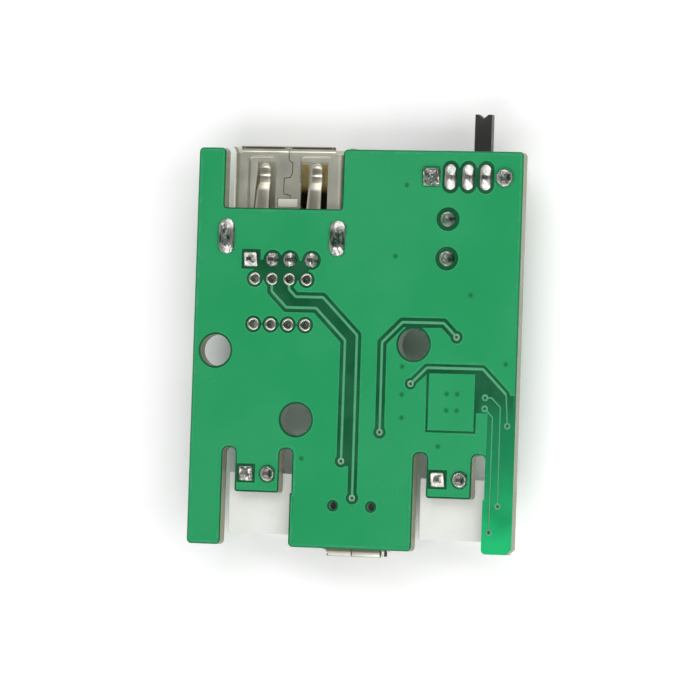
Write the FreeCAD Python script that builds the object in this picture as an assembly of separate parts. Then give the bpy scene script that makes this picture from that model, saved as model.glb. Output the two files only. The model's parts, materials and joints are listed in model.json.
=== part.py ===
import FreeCAD, Part
import math
import os

V = FreeCAD.Vector

# Lithium battery charger module, lying on its components with the solder face up.
# Every length is in millimetres. X runs across the board and Y along it, both from the
# middle of the board. Z starts at the solder face and the components hang below it.
# The whole model is moved to its own frame only where the parts are written.

# Board
BOARD_W = 37.2
BOARD_L = 43.8
BOARD_T = 1.6
FOIL_T = 0.05
EDGE_MARGIN = 0.3
CORNER_R = 0.5
SLOT_END_R = 0.6
FINGER_CHAMFER = 0.6
INNER_CORNER_R = 0.3

# Output socket, type A, with its cut-out in the front edge of the board
USB_FROM_LEFT = 9.9
USB_W = 13.1
USB_H = 5.7
USB_SHEET = 0.3
USB_BEND_R = 0.9
USB_LENGTH = 13.9
USB_OVERHANG = 0.3
USB_LIP_LENGTH = 0.8
USB_LIP_FLARE = 0.45
USB_LIP_INSET = 1.4
USB_SIDE_GAP = 0.25
USB_CUTOUT_DEPTH = 6.6
USB_PIN_SETBACK = 12.55
USB_LEG_SETBACK = 10.08
USB_LEG_L = 2.0
USB_LEG_PROUD = 0.35
USB_INNER_PITCH = 2.0
USB_OUTER_PITCH = 2.5
USB_SPRING_X = 3.0
USB_WINDOW_W = 3.1
USB_WINDOW_L = 6.5
USB_WINDOW_SETBACK = 1.7
USB_SPRING_ROOT_W = 1.9
USB_SPRING_TIP_W = 1.2
USB_SPRING_DIP = 0.55
USB_SPRING_T = 0.25
USB_SPRING_CURL = 1.9
USB_SEAM = 0.08
USB_SEAM_KEY_SETBACK = 1.5
USB_SEAM_KEY_L = 2.0
USB_SEAM_STEP = 0.45
USB_LUG_W = 2.35
USB_LUG_L = 1.0
USB_LUG_SETBACK = 5.7
USB_BLOCK_L = 3.9
USB_TONGUE_SIDE_GAP = 0.7
USB_TONGUE_T = 1.84
USB_TONGUE_DROP = 2.27
USB_TONGUE_RECESS = 1.2
USB_FIT = 0.05
USB_CONTACT_W = 1.0
USB_CONTACT_T = 0.25
USB_PIN_W = 0.6
USB_PIN_D = 0.4

# Input socket, type micro B, at the rear edge of the board
MICRO_X = 0.35
MICRO_W = 7.5
MICRO_H = 2.5
MICRO_SHEET = 0.25
MICRO_LENGTH = 5.5
MICRO_OVERHANG = 0.8
MICRO_LIP_LENGTH = 0.65
MICRO_LIP_FLARE = 0.4
MICRO_LIP_W = 6.2
MICRO_BEVEL = 0.7
MICRO_BEND_R = 0.35
MICRO_SEAM_X = -0.4
MICRO_SEAM = 0.08
MICRO_PEG_PITCH = 4.35
MICRO_PEG_SETBACK = 4.7
MICRO_PEG_D = 0.7
MICRO_PEG_HOLE_D = 0.8
MICRO_PEG_L = 1.1
MICRO_TONGUE_W = 4.6
MICRO_TONGUE_T = 0.6
MICRO_BLOCK_L = 1.6
MICRO_CONTACTS = 5
MICRO_CONTACT_PITCH = 0.65
MICRO_CONTACT_W = 0.3
MICRO_CONTACT_T = 0.1
MICRO_LEAD_REACH = 0.8
MICRO_WING_L = 1.6
MICRO_WING_W = 1.1

# Battery headers, two pins each, side entry, in the forks of the rear edge
HEADER_FROM_LEFT = 7.9
HEADER_FROM_RIGHT = 7.3
HEADER_PITCH = 2.5
HEADER_W = 7.4
HEADER_H = 6.1
HEADER_DEPTH = 6.7
HEADER_REAR_TO_PIN = 0.06
HEADER_WALL = 0.8
HEADER_BACK_WALL = 1.4
HEADER_PIN = 0.64
HEADER_PIN_RECESS = 1.0
HEADER_PIN_POINT = 0.13
HEADER_SLOT_W = 0.9
HEADER_KEY_W = 1.2
HEADER_KEY_L = 3.4
HEADER_FORK_GAP = 0.35
HEADER_PIN_FROM_REAR = 7.95
HEADER_PIN_PROUD = 0.75
TONGUE_W = 5.1
TONGUE_FROM_REAR = 5.9
FORK_DEPTH = 10.75
FORK_STEP = 0.18

# Slide switch at the front right, with its lever out over the front edge
SWITCH_FROM_RIGHT = 6.2
SWITCH_FROM_FRONT = 2.85
SWITCH_PITCH = 2.0
SWITCH_LEG_X = 4.13
SWITCH_D = 4.4
SWITCH_H = 4.2
SWITCH_SHEET = 0.3
SWITCH_BASE_T = 0.8
SWITCH_TRAVEL = 1.5
SWITCH_PLAY = 0.12
SWITCH_CONTACT_GAP = 0.05
LEVER_W = 1.9
LEVER_T = 1.0
LEVER_REACH = 4.2
LEVER_NOTCH_W = 1.1
LEVER_NOTCH_D = 0.45
TERMINAL_W = 0.6
TERMINAL_T = 0.4
TERMINAL_HEAD = 1.0
TERMINAL_HEAD_T = 0.1
SWITCH_LEG_W = 1.0
CLIP_W = 2.8
CLIP_D = 1.0
CLIP_T = 0.15

# Power inductor, upright drum
COIL_FROM_RIGHT = 8.35
COIL_FROM_FRONT = 9.6
COIL_D = 8.0
COIL_H = 6.0
COIL_STANDOFF = 0.2
COIL_FLANGE_T = 1.1
COIL_HUB_D = 3.6
COIL_WIRE_D = 0.62
COIL_LAYER_D = 6.9
COIL_PIN_PITCH = 4.3
COIL_PIN_D = 0.75
COIL_EDGE_R = 0.25

# Holes, pads and tracks of the solder face
PLAIN_HOLE_D = 3.5
LEFT_HOLE_FROM_LEFT = 2.6
LEFT_HOLE_Y = -0.5
RIGHT_HOLE_FROM_RIGHT = 11.8
RIGHT_HOLE_Y = 0.7
REAR_HOLE_FROM_LEFT = 12.2
REAR_HOLE_FROM_REAR = 14.0
SPARE_PITCH = 2.0
SPARE_ROW_GAP = 5.0
SPARE_BEHIND_PINS = 2.15
SPARE_PER_ROW = 4
SPARE_HOLE_D = 0.9
SPARE_RING_D = 1.37
RING_PROUD = 0.03
BARREL_WALL = 0.06
PIN_PAD_D = 1.65
PIN_DRILL_D = 1.0
COIL_PAD_D = 1.75
COIL_PAD_GAP = 0.5
PAD_GAP = 0.32
TAB_PAD_W = 1.9
TAB_PAD_L = 4.0
TAB_SLOT_W = 1.1
TAB_SLOT_L = 2.8
SWITCH_PAD_W = 1.4
SWITCH_PAD_L = 3.1
SWITCH_END_PAD = 2.0
SWITCH_DRILL_D = 0.9
SWITCH_LEG_DRILL_D = 1.3
VIA_RING_D = 0.75
VIA_HOLE_D = 0.35
TRACK_W = 0.38
FINE_TRACK_W = 0.2
TRACK_GAP = 0.4
SOLDER_EDGE = 0.08
SOLDER_RISE = 0.55
SOLDER_NECK = 0.42

# Thermal island over the charge controller
ISLAND_FROM_REAR = 16.4
ISLAND_W = 5.1
ISLAND_L = 6.1

# Chips on the component face: body length, body width, height, lead pitch, reach, foot
CHIP_8 = (4.9, 3.9, 1.45, 1.27, 3.0, 0.6)
CHIP_16 = (9.9, 3.9, 1.45, 1.27, 3.0, 0.6)
CHIP_6 = (2.9, 1.6, 1.1, 0.95, 1.4, 0.3)
CHIP_END_MARGIN = 0.45
CHIP_STANDOFF = 0.12
CHIP_DRAFT = 0.18
LEAD_W = 0.42
LEAD_T = 0.2
DIMPLE_D = 0.7
DIMPLE_DEPTH = 0.1

# Small parts on the component face: length, width, height, terminal length
CAPACITOR_SIZE = (2.0, 1.25, 0.95, 0.4)
RESISTOR_SIZE = (1.6, 0.8, 0.45, 0.3)
LED_SIZE = (2.0, 1.25, 0.35, 0.4)
LED_LENS_L = 1.2
LED_LENS_H = 0.55
LED_FROM_RIGHT = 1.7
LED_FROM_REAR = 3.0
LED_PITCH = 3.0
LED_COUNT = 4
END_CAP_PROUD = 0.03
DIODE_SIZE = (4.3, 2.6, 2.2, 1.2)
CAN_D = 6.3
CAN_BASE = 6.6
CAN_H = 5.4
CAN_BASE_T = 1.0
CAN_STANDOFF = 0.15
CAN_CHAMFER = 1.3
CAN_LEAD_W = 0.65

NEAR = 0.01

# Places worked out from the sizes above
FRONT = BOARD_L / 2
REAR = -BOARD_L / 2
RIGHT = BOARD_W / 2
LEFT = -BOARD_W / 2
UNDER = -BOARD_T
FOIL_TOP = 0.0
CORE_TOP = -FOIL_T
CORE_LOW = UNDER + FOIL_T
USB_X = LEFT + USB_FROM_LEFT
USB_TONGUE_W = USB_W - 2 * USB_SHEET - 2 * USB_TONGUE_SIDE_GAP
USB_FRONT = FRONT + USB_OVERHANG
USB_BACK = USB_FRONT - USB_LENGTH
USB_PIN_Y = USB_FRONT - USB_PIN_SETBACK
USB_LEG_Y = USB_FRONT - USB_LEG_SETBACK
USB_LEG_X = USB_W / 2 - USB_SHEET / 2
USB_PINS = [USB_X + side * offset for side, offset in (
    (-1, USB_INNER_PITCH / 2 + USB_OUTER_PITCH), (-1, USB_INNER_PITCH / 2),
    (1, USB_INNER_PITCH / 2), (1, USB_INNER_PITCH / 2 + USB_OUTER_PITCH))]
MICRO_FRONT = REAR - MICRO_OVERHANG
MICRO_BACK = MICRO_FRONT + MICRO_LIP_LENGTH + MICRO_LENGTH
MICRO_PEG_Y = REAR + MICRO_PEG_SETBACK
HEADER_LEFT_X = LEFT + HEADER_FROM_LEFT
HEADER_RIGHT_X = RIGHT - HEADER_FROM_RIGHT
HEADER_PIN_Y = REAR + HEADER_PIN_FROM_REAR
HEADER_REAR_Y = HEADER_PIN_Y + HEADER_REAR_TO_PIN
HEADER_MOUTH_Y = HEADER_REAR_Y - HEADER_DEPTH
FORK_W = HEADER_W + 2 * HEADER_FORK_GAP
SWITCH_X = RIGHT - SWITCH_FROM_RIGHT
SWITCH_Y = FRONT - SWITCH_FROM_FRONT
COIL_X = RIGHT - COIL_FROM_RIGHT
COIL_Y = FRONT - COIL_FROM_FRONT
ISLAND_X = HEADER_RIGHT_X
ISLAND_Y = REAR + ISLAND_FROM_REAR
PLAIN_HOLES = [(LEFT + LEFT_HOLE_FROM_LEFT, LEFT_HOLE_Y), (RIGHT - RIGHT_HOLE_FROM_RIGHT, RIGHT_HOLE_Y),
               (LEFT + REAR_HOLE_FROM_LEFT, REAR + REAR_HOLE_FROM_REAR)]
SPARE_ROW_Y = USB_PIN_Y - SPARE_BEHIND_PINS
SPARE_HOLES = [(USB_X + (i - (SPARE_PER_ROW - 1) / 2) * SPARE_PITCH, SPARE_ROW_Y - row * SPARE_ROW_GAP)
               for row in range(2) for i in range(SPARE_PER_ROW)]
LEVER_TIP_Y = FRONT + LEVER_REACH
LOWEST = UNDER - USB_H - USB_LIP_FLARE

# Tracks of the solder face, as corner points. The first two run from the spare holes to the
# middle of the board, the third goes round the right hole and the rest round the island.
A_X, B_X = SPARE_HOLES[1][0], SPARE_HOLES[2][0]
TRUNK_X = MICRO_X - 1.4
HOLE_X, HOLE_Y = PLAIN_HOLES[1]
TRACK_A = [(A_X, SPARE_ROW_Y), (A_X, SPARE_ROW_Y - 1.35), (A_X + 1.75, SPARE_ROW_Y - 3.1),
           (TRUNK_X - 3.45, SPARE_ROW_Y - 3.1), (TRUNK_X, SPARE_ROW_Y - 6.55), (TRUNK_X, REAR + 9.6)]
TRACK_B = [(B_X, SPARE_ROW_Y), (B_X, SPARE_ROW_Y - 1.1), (B_X + 0.8, SPARE_ROW_Y - 1.9),
           (MICRO_X - 4.1, SPARE_ROW_Y - 1.9), (MICRO_X - 0.05, SPARE_ROW_Y - 5.95), (MICRO_X, REAR + 5.6)]
TRACK_C = [(HOLE_X + 4.85, HOLE_Y + 0.9), (HOLE_X + 3.35, HOLE_Y + 2.4), (HOLE_X - 1.35, HOLE_Y + 2.4),
           (HOLE_X - 3.6, HOLE_Y + 0.15), (HOLE_X - 3.55, REAR + 12.9)]
TRACK_D = [(ISLAND_X - 4.7, ISLAND_Y + 1.9), (ISLAND_X - 2.9, ISLAND_Y + 3.7),
           (ISLAND_X + 3.45, ISLAND_Y + 3.7), (RIGHT - 1.15, ISLAND_Y + 1.0)]
TRACK_D_TAIL = [TRACK_D[-1], (RIGHT - 0.9, ISLAND_Y - 2.4)]
TRACK_E = [(ISLAND_X + 3.8, ISLAND_Y + 0.6), (ISLAND_X + 4.55, ISLAND_Y + 0.6),
           (RIGHT - 1.75, ISLAND_Y - 0.4), (RIGHT - 1.7, REAR + 5.25)]
TRACK_F = [(ISLAND_X + 3.8, ISLAND_Y - 0.6), (RIGHT - 2.6, ISLAND_Y - 1.5), (RIGHT - 2.6, REAR + 2.4)]
OPEN_VIAS = [TRACK_B[-1], TRACK_C[-1], TRACK_A[-1], TRACK_C[0], TRACK_D[0]]
FINE_VIAS = [TRACK_D_TAIL[-1], TRACK_E[0], TRACK_F[0], TRACK_E[-1], TRACK_F[-1]]


def around(anchor, offsets):
    """Places set out from one larger part or corner: x, y and turn in degrees."""
    return [(anchor[0] + dx, anchor[1] + dy, turn) for dx, dy, turn in offsets]


# Parts on the component face: x, y and turn in degrees
CHARGER_AT = (ISLAND_X, ISLAND_Y, 90)
BOOST_AT = (COIL_X - 7.85, COIL_Y - 0.1, 90)
CONTROLLER_AT = (MICRO_X, REAR + 16.7, 90)
PROTECTION_AT = (HEADER_LEFT_X - 1.7, REAR + 14.5, 0)
SENSOR_AT = (HEADER_LEFT_X - 1.9, REAR + 19.5, 0)
DIODE_AT = (RIGHT - 5.6, COIL_Y - 7.3, 0)
CAN_AT = (USB_X + USB_W / 2 + CAN_BASE / 2 + 0.95, FRONT - 3.7, 0)
CAPACITORS_AT = (around(BOOST_AT, [(3.9, -4.8, 0), (-0.8, -4.6, 0), (-4.8, -6.3, 90)])
                 + around(CONTROLLER_AT, [(5.55, -4.4, 0)]) + around(CHARGER_AT, [(0, -4.8, 0)])
                 + around((LEFT, SPARE_ROW_Y), [(1.7, -3.3, 90)])
                 + around((HEADER_LEFT_X, HEADER_PIN_Y), [(1.3, 2.35, 0)])
                 + around((MICRO_X, REAR), [(4.25, 7.3, 90), (-3.75, 7.3, 90)]))
RESISTORS_AT = (around(CONTROLLER_AT, [(-4.25, 6.7, 90), (-4.25, 3.8, 90), (-4.25, 0.9, 90), (5.55, 1.7, 0),
                                       (5.55, -0.1, 0), (5.55, -1.9, 0), (-0.05, -7.2, 0)])
                + around(CHARGER_AT, [(0, 5.8, 0), (4.6, 5.8, 0), (4.3, 3.0, 90)])
                + around(PROTECTION_AT, [(-4.0, 2.8, 90), (-4.0, -0.2, 90), (4.0, 4.4, 90),
                                         (-3.2, -3.6, 90)]))
LEDS_AT = [(RIGHT - LED_FROM_RIGHT, REAR + LED_FROM_REAR + i * LED_PITCH, 90) for i in range(LED_COUNT)]


def box(x0, x1, y0, y1, z0, z1):
    """Block between two corners."""
    return Part.makeBox(x1 - x0, y1 - y0, z1 - z0, V(x0, y0, z0))


def rod(x, y, z0, z1, radius):
    """Upright round rod."""
    return Part.makeCylinder(radius, z1 - z0, V(x, y, z0))


def prism(points, z0, z1):
    """Upright prism over a closed outline of (x, y) corners."""
    wire = Part.makePolygon([V(x, y, z0) for x, y in points + points[:1]])
    return Part.Face(wire).extrude(V(0, 0, z1 - z0))


def side_prism(points, x0, x1):
    """Prism that runs along X over a closed outline of (y, z) corners."""
    wire = Part.makePolygon([V(x0, y, z) for y, z in points + points[:1]])
    return Part.Face(wire).extrude(V(x1 - x0, 0, 0))


def fuse(shapes):
    """One solid from shapes that touch."""
    whole = shapes[0]
    if len(shapes) > 1:
        whole = whole.multiFuse(shapes[1:])
    return whole.removeSplitter()


def cut(shape, tools):
    """Shape with every tool taken away."""
    return shape.cut(Part.makeCompound(tools))


def edges_along(solid, axis):
    """Straight edges of a solid that run along one axis."""
    found = []
    for edge in solid.Edges:
        run = edge.Vertexes[-1].Point - edge.Vertexes[0].Point
        if run.Length > NEAR and abs(abs(run.dot(axis)) - run.Length) < NEAR * run.Length:
            found.append(edge)
    return found


def rounded_along(solid, axis, radius):
    """Solid with all its edges along one axis rounded."""
    return solid.makeFillet(radius, edges_along(solid, axis))


def corner_edges(solid, corners):
    """Upright edges of a solid that stand at the given (x, y) corners."""
    chosen = []
    for edge in edges_along(solid, V(0, 0, 1)):
        at = edge.Vertexes[0].Point
        if any(math.hypot(at.x - x, at.y - y) < NEAR for x, y in corners):
            chosen.append(edge)
    return chosen


def ribbon(points, width, z0, z1):
    """Flat track of one width along straight runs, round at its ends and turns."""
    pieces = [rod(x, y, z0, z1, width / 2) for x, y in points]
    for (xa, ya), (xb, yb) in zip(points, points[1:]):
        run = box(0, math.hypot(xb - xa, yb - ya), -width / 2, width / 2, z0, z1)
        run.rotate(V(0, 0, 0), V(0, 0, 1), math.degrees(math.atan2(yb - ya, xb - xa)))
        run.translate(V(xa, ya, 0))
        pieces.append(run)
    return fuse(pieces)


def obround_wire(x, y, width, length, z):
    """Closed wire of a slot with round ends, its length along Y."""
    r = width / 2
    s = length / 2 - r
    return Part.Wire([
        Part.Arc(V(x + r, y + s, z), V(x, y + s + r, z), V(x - r, y + s, z)).toShape(),
        Part.LineSegment(V(x - r, y + s, z), V(x - r, y - s, z)).toShape(),
        Part.Arc(V(x - r, y - s, z), V(x, y - s - r, z), V(x + r, y - s, z)).toShape(),
        Part.LineSegment(V(x + r, y - s, z), V(x + r, y + s, z)).toShape()])


def obround(x, y, width, length, z0, z1):
    """Upright solid slot shape."""
    return Part.Face(obround_wire(x, y, width, length, z0)).extrude(V(0, 0, z1 - z0))


def hang(shape, x, y, turn):
    """Part that is drawn standing at the origin, turned over and set against the board."""
    placed = shape.copy()
    placed.rotate(V(0, 0, 0), V(1, 0, 0), 180)
    placed.rotate(V(0, 0, 0), V(0, 0, 1), turn)
    placed.translate(V(x, y, UNDER))
    return placed


def board_blank():
    """Board outline with its cut-out and forks, before any hole is drilled."""
    z0, z1 = CORE_LOW, CORE_TOP
    usb_half = USB_W / 2 + USB_SIDE_GAP
    usb_floor = FRONT - USB_CUTOUT_DEPTH
    fork_top = REAR + FORK_DEPTH
    tongue_end = REAR + TONGUE_FROM_REAR
    blank = box(LEFT, RIGHT, REAR, FRONT, z0, z1)
    tools = [box(USB_X - usb_half, USB_X + usb_half, usb_floor, FRONT + 1, z0 - 1, z1 + 1)]
    tips = [(LEFT, FRONT), (USB_X - usb_half, FRONT), (USB_X + usb_half, FRONT), (RIGHT, FRONT),
            (LEFT, REAR)]
    inner = [(USB_X - usb_half, usb_floor), (USB_X + usb_half, usb_floor)]
    ends = []
    for middle in (HEADER_LEFT_X, HEADER_RIGHT_X):
        x0, x1 = middle - FORK_W / 2, middle + FORK_W / 2
        t0, t1 = middle - TONGUE_W / 2, middle + TONGUE_W / 2
        tools.append(prism([(x0, REAR - 1), (x1 - FORK_STEP, REAR - 1), (x1 - FORK_STEP, tongue_end),
                            (x1, tongue_end), (x1, fork_top), (t1, fork_top), (t1, tongue_end),
                            (t0, tongue_end), (t0, fork_top), (x0, fork_top)], z0 - 1, z1 + 1))
        ends += [(x0, fork_top), (t0, fork_top), (t1, fork_top), (x1, fork_top)]
        tips += [(x0, REAR), (x1 - FORK_STEP, REAR)]
        inner += [(t0, tongue_end), (t1, tongue_end)]
    blank = cut(blank, tools)
    blank = blank.makeFillet(CORNER_R, corner_edges(blank, tips))
    blank = blank.makeFillet(INNER_CORNER_R, corner_edges(blank, inner))
    blank = blank.makeFillet(SLOT_END_R, corner_edges(blank, ends))
    return blank.makeChamfer(FINGER_CHAMFER, corner_edges(blank, [(RIGHT, REAR)]))


def outline_plate(blank, margin, z0, z1):
    """Plate that follows the board's outline at a margin inside its edge."""
    top = [face for face in blank.Faces if face.normalAt(0, 0).z > 0.9][0]
    plate = Part.Face(top.OuterWire)
    if margin:
        plate = plate.makeOffset2D(-margin)
    plate.translate(V(0, 0, z0 - CORE_TOP))
    return plate.extrude(V(0, 0, z1 - z0))


def header_pins():
    """Centres of both headers' pins, the square pad of each first."""
    return [(middle + side * HEADER_PITCH / 2, HEADER_PIN_Y)
            for middle in (HEADER_LEFT_X, HEADER_RIGHT_X) for side in (-1, 1)]


def switch_terminals_at():
    """Centres of the switch's three terminals."""
    return [(SWITCH_X + i * SWITCH_PITCH, SWITCH_Y) for i in (-1, 0, 1)]


def switch_legs_at():
    """Centres of the switch bracket's two legs, the square pad first."""
    return [(SWITCH_X - SWITCH_LEG_X, SWITCH_Y), (SWITCH_X + SWITCH_LEG_X, SWITCH_Y)]


def coil_pins_at():
    """Centres of the inductor's two pins."""
    return [(COIL_X, COIL_Y + side * COIL_PIN_PITCH / 2) for side in (1, -1)]


def usb_legs_at():
    """Centres of the type A shell's two legs."""
    return [(USB_X + side * USB_LEG_X, USB_LEG_Y) for side in (-1, 1)]


def micro_pegs_at():
    """Centres of the micro socket's two pegs."""
    return [(MICRO_X + side * MICRO_PEG_PITCH / 2, MICRO_PEG_Y) for side in (-1, 1)]


def drills(z0, z1):
    """Every hole through the board, between two levels."""
    holes = [rod(x, y, z0, z1, PLAIN_HOLE_D / 2) for x, y in PLAIN_HOLES]
    holes += [rod(x, y, z0, z1, SPARE_HOLE_D / 2 + BARREL_WALL) for x, y in SPARE_HOLES]
    holes += [rod(x, USB_PIN_Y, z0, z1, PIN_DRILL_D / 2) for x in USB_PINS]
    holes += [rod(x, y, z0, z1, PIN_DRILL_D / 2) for x, y in header_pins() + coil_pins_at()]
    holes += [rod(x, y, z0, z1, SWITCH_DRILL_D / 2) for x, y in switch_terminals_at()]
    holes += [rod(x, y, z0, z1, SWITCH_LEG_DRILL_D / 2) for x, y in switch_legs_at()]
    holes += [obround(x, y, TAB_SLOT_W, TAB_SLOT_L, z0, z1) for x, y in usb_legs_at()]
    holes += [rod(x, y, z0, z1, MICRO_PEG_HOLE_D / 2) for x, y in micro_pegs_at()]
    holes += [rod(x, y, z0, z1, VIA_HOLE_D / 2) for x, y in OPEN_VIAS + FINE_VIAS]
    return holes


def circuit_board(blank):
    """Laminate core with every hole."""
    return cut(blank, drills(CORE_LOW - 1, CORE_TOP + 1))


def tied_and_free_pads(z0, z1, grow):
    """Pad areas of the through-hole parts, grown by a gap where they stand clear of the pour."""
    r = PIN_PAD_D / 2
    free = [rod(x, USB_PIN_Y, z0, z1, r + grow) for x in USB_PINS[1:]]
    free.append(box(USB_PINS[0] - r - grow, USB_PINS[0] + r + grow,
                    USB_PIN_Y - r - grow, USB_PIN_Y + r + grow, z0, z1))
    tied = []
    for i, (x, y) in enumerate(header_pins()):
        if i % 2 == 0:
            free.append(box(x - r - grow, x + r + grow, y - r - grow, y + r + grow, z0, z1))
        else:
            tied.append(rod(x, y, z0, z1, r))
    coil_grow = grow * COIL_PAD_GAP / PAD_GAP
    free += [rod(x, y, z0, z1, COIL_PAD_D / 2 + coil_grow) for x, y in coil_pins_at()]
    free += [obround(x, y, SWITCH_PAD_W + 2 * grow, SWITCH_PAD_L + 2 * grow, z0, z1)
             for x, y in switch_terminals_at()]
    half = SWITCH_END_PAD / 2
    (xa, ya), (xb, yb) = switch_legs_at()
    tied.append(box(xa - half, xa + half, ya - half, ya + half, z0, z1))
    tied.append(rod(xb, yb, z0, z1, half))
    tied += [obround(x, y, TAB_PAD_W, TAB_PAD_L, z0, z1) for x, y in usb_legs_at()]
    free += [rod(x, y, z0, z1, SPARE_RING_D / 2 + grow) for x, y in SPARE_HOLES]
    free += [rod(x, y, z0, z1, MICRO_PEG_HOLE_D / 2 + grow) for x, y in micro_pegs_at()]
    return tied, free


def pin_zone(z0, z1):
    """Zone between the large socket's pins and the spare holes, where no copper is poured."""
    return prism([(USB_PINS[0], USB_PIN_Y), (USB_PINS[-1], USB_PIN_Y), SPARE_HOLES[SPARE_PER_ROW - 1],
                  SPARE_HOLES[0]], z0, z1)


def solder_side_copper(blank):
    """Copper of the solder face under its mask: the pour, the thermal island and the tracks."""
    z0, z1 = CORE_TOP, FOIL_TOP
    low, high = z0 - 1, z1 + 1
    pour = outline_plate(blank, EDGE_MARGIN, z0, z1)
    tied, free = tied_and_free_pads(low, high, PAD_GAP)
    plain = [rod(x, y, low, high, PLAIN_HOLE_D / 2 + EDGE_MARGIN) for x, y in PLAIN_HOLES]
    wide = TRACK_W + 2 * TRACK_GAP
    fine_wide = FINE_TRACK_W + 2 * TRACK_GAP
    between = [((xa + xb) / 2, (ya + max(yb, TRACK_A[-1][1])) / 2)
               for (xa, ya), (xb, yb) in zip(TRACK_A, TRACK_B)]
    lanes = [ribbon(TRACK_A, wide, low, high), ribbon(TRACK_B, wide, low, high),
             ribbon(between, wide, low, high), ribbon(TRACK_C, wide, low, high),
             ribbon(TRACK_D, wide, low, high), ribbon(TRACK_D_TAIL, fine_wide, low, high)]
    lanes += [rod(x, y, low, high, VIA_RING_D / 2 + TRACK_GAP) for x, y in OPEN_VIAS]
    strip_left = ISLAND_X + ISLAND_W / 2 + TRACK_GAP
    strip_right = TRACK_F[-1][0] - TRACK_GAP - FINE_TRACK_W / 2 - 0.15
    strip_top = TRACK_F[0][1] - 0.6
    open_zone = prism([(strip_left, TRACK_D[0][1]), (strip_left, TRACK_D[2][1]), TRACK_D[2], TRACK_D[3],
                       (RIGHT, TRACK_D[3][1]), (RIGHT, REAR), (strip_right, REAR),
                       (strip_right, strip_top), (strip_left, strip_top)], low, high)
    island_gap = box(ISLAND_X - ISLAND_W / 2 - TRACK_GAP, ISLAND_X + ISLAND_W / 2 + TRACK_GAP,
                     ISLAND_Y - ISLAND_L / 2 - TRACK_GAP, ISLAND_Y + ISLAND_L / 2 + TRACK_GAP, low, high)
    pour = cut(pour, tied + free + plain + lanes + [pin_zone(low, high), open_zone, island_gap])
    island = box(ISLAND_X - ISLAND_W / 2, ISLAND_X + ISLAND_W / 2,
                 ISLAND_Y - ISLAND_L / 2, ISLAND_Y + ISLAND_L / 2, z0, z1)
    tracks = [ribbon(TRACK_A, TRACK_W, z0, z1), ribbon(TRACK_B, TRACK_W, z0, z1),
              ribbon(TRACK_C, TRACK_W, z0, z1),
              fuse([ribbon(TRACK_D, TRACK_W, z0, z1), ribbon(TRACK_D_TAIL, FINE_TRACK_W, z0, z1)]),
              ribbon(TRACK_E, FINE_TRACK_W, z0, z1), ribbon(TRACK_F, FINE_TRACK_W, z0, z1)]
    rings = [rod(x, y, low, high, VIA_RING_D / 2) for x, y in OPEN_VIAS + FINE_VIAS]
    rings += [rod(x, y, low, high, SPARE_RING_D / 2) for x, y in SPARE_HOLES]
    tracks = [cut(track, rings) for track in tracks]
    return pour.Solids + [island] + [solid for track in tracks for solid in track.Solids]


def flat_pads(size, terminal):
    """Pads of a two-ended part, as local rectangles."""
    half_l, half_w = size[0] / 2, size[1] / 2
    return [(-half_l - 0.3, -half_l + terminal, -half_w, half_w),
            (half_l - terminal, half_l + 0.3, -half_w, half_w)]


def lead_places(chip):
    """Places along one side of a chip where its leads stand, as many as its length takes."""
    length, pitch = chip[0], chip[3]
    count = int((length - 2 * CHIP_END_MARGIN) / pitch + NEAR) + 1
    return [(i - (count - 1) / 2) * pitch for i in range(count)]


def chip_pads(chip):
    """Pads of a chip's leads, as local rectangles."""
    reach, foot = chip[4:]
    pads = []
    for x in lead_places(chip):
        for side in (-1, 1):
            y0, y1 = sorted((side * (reach + 0.2), side * (reach - foot - 0.1)))
            pads.append((x - LEAD_W / 2 - 0.05, x + LEAD_W / 2 + 0.05, y0, y1))
    return pads


def component_pad_areas(z0, z1, grow):
    """Pads of the surface-mounted parts on the component face, grown by a gap."""
    places = [(chip_pads(CHIP_8), [CHARGER_AT, BOOST_AT, PROTECTION_AT]),
              (chip_pads(CHIP_16), [CONTROLLER_AT]),
              (chip_pads(CHIP_6), [SENSOR_AT]),
              (flat_pads(CAPACITOR_SIZE, CAPACITOR_SIZE[3]), CAPACITORS_AT),
              (flat_pads(RESISTOR_SIZE, RESISTOR_SIZE[3]), RESISTORS_AT),
              (flat_pads(LED_SIZE, LED_SIZE[3]), LEDS_AT),
              (flat_pads(DIODE_SIZE, DIODE_SIZE[3]), [DIODE_AT]),
              (flat_pads((CAN_BASE, CAN_LEAD_W * 2), CAN_BASE * 0.3), [CAN_AT])]
    areas = []
    for pads, spots in places:
        for x, y, turn in spots:
            for x0, x1, y0, y1 in pads:
                area = box(x0 - grow, x1 + grow, y0 - grow, y1 + grow, 0, z1 - z0)
                area.rotate(V(0, 0, 0), V(0, 0, 1), turn)
                area.translate(V(x, y, z0))
                areas.append(area)
    lead_y = MICRO_BACK
    for i in range(MICRO_CONTACTS):
        x = MICRO_X + (i - (MICRO_CONTACTS - 1) / 2) * MICRO_CONTACT_PITCH
        areas.append(box(x - MICRO_CONTACT_W / 2 - grow, x + MICRO_CONTACT_W / 2 + grow,
                         lead_y + 0.1 - grow, lead_y + MICRO_LEAD_REACH + 0.2 + grow, z0, z1))
    for side in (-1, 1):
        x0, x1 = sorted((MICRO_X + side * MICRO_W / 2, MICRO_X + side * (MICRO_W / 2 + MICRO_WING_W)))
        wing_y = MICRO_BACK - MICRO_LENGTH / 2
        areas.append(box(x0 - grow, x1 + grow, wing_y - MICRO_WING_L / 2 - grow,
                         wing_y + MICRO_WING_L / 2 + grow, z0, z1))
    return areas


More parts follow.
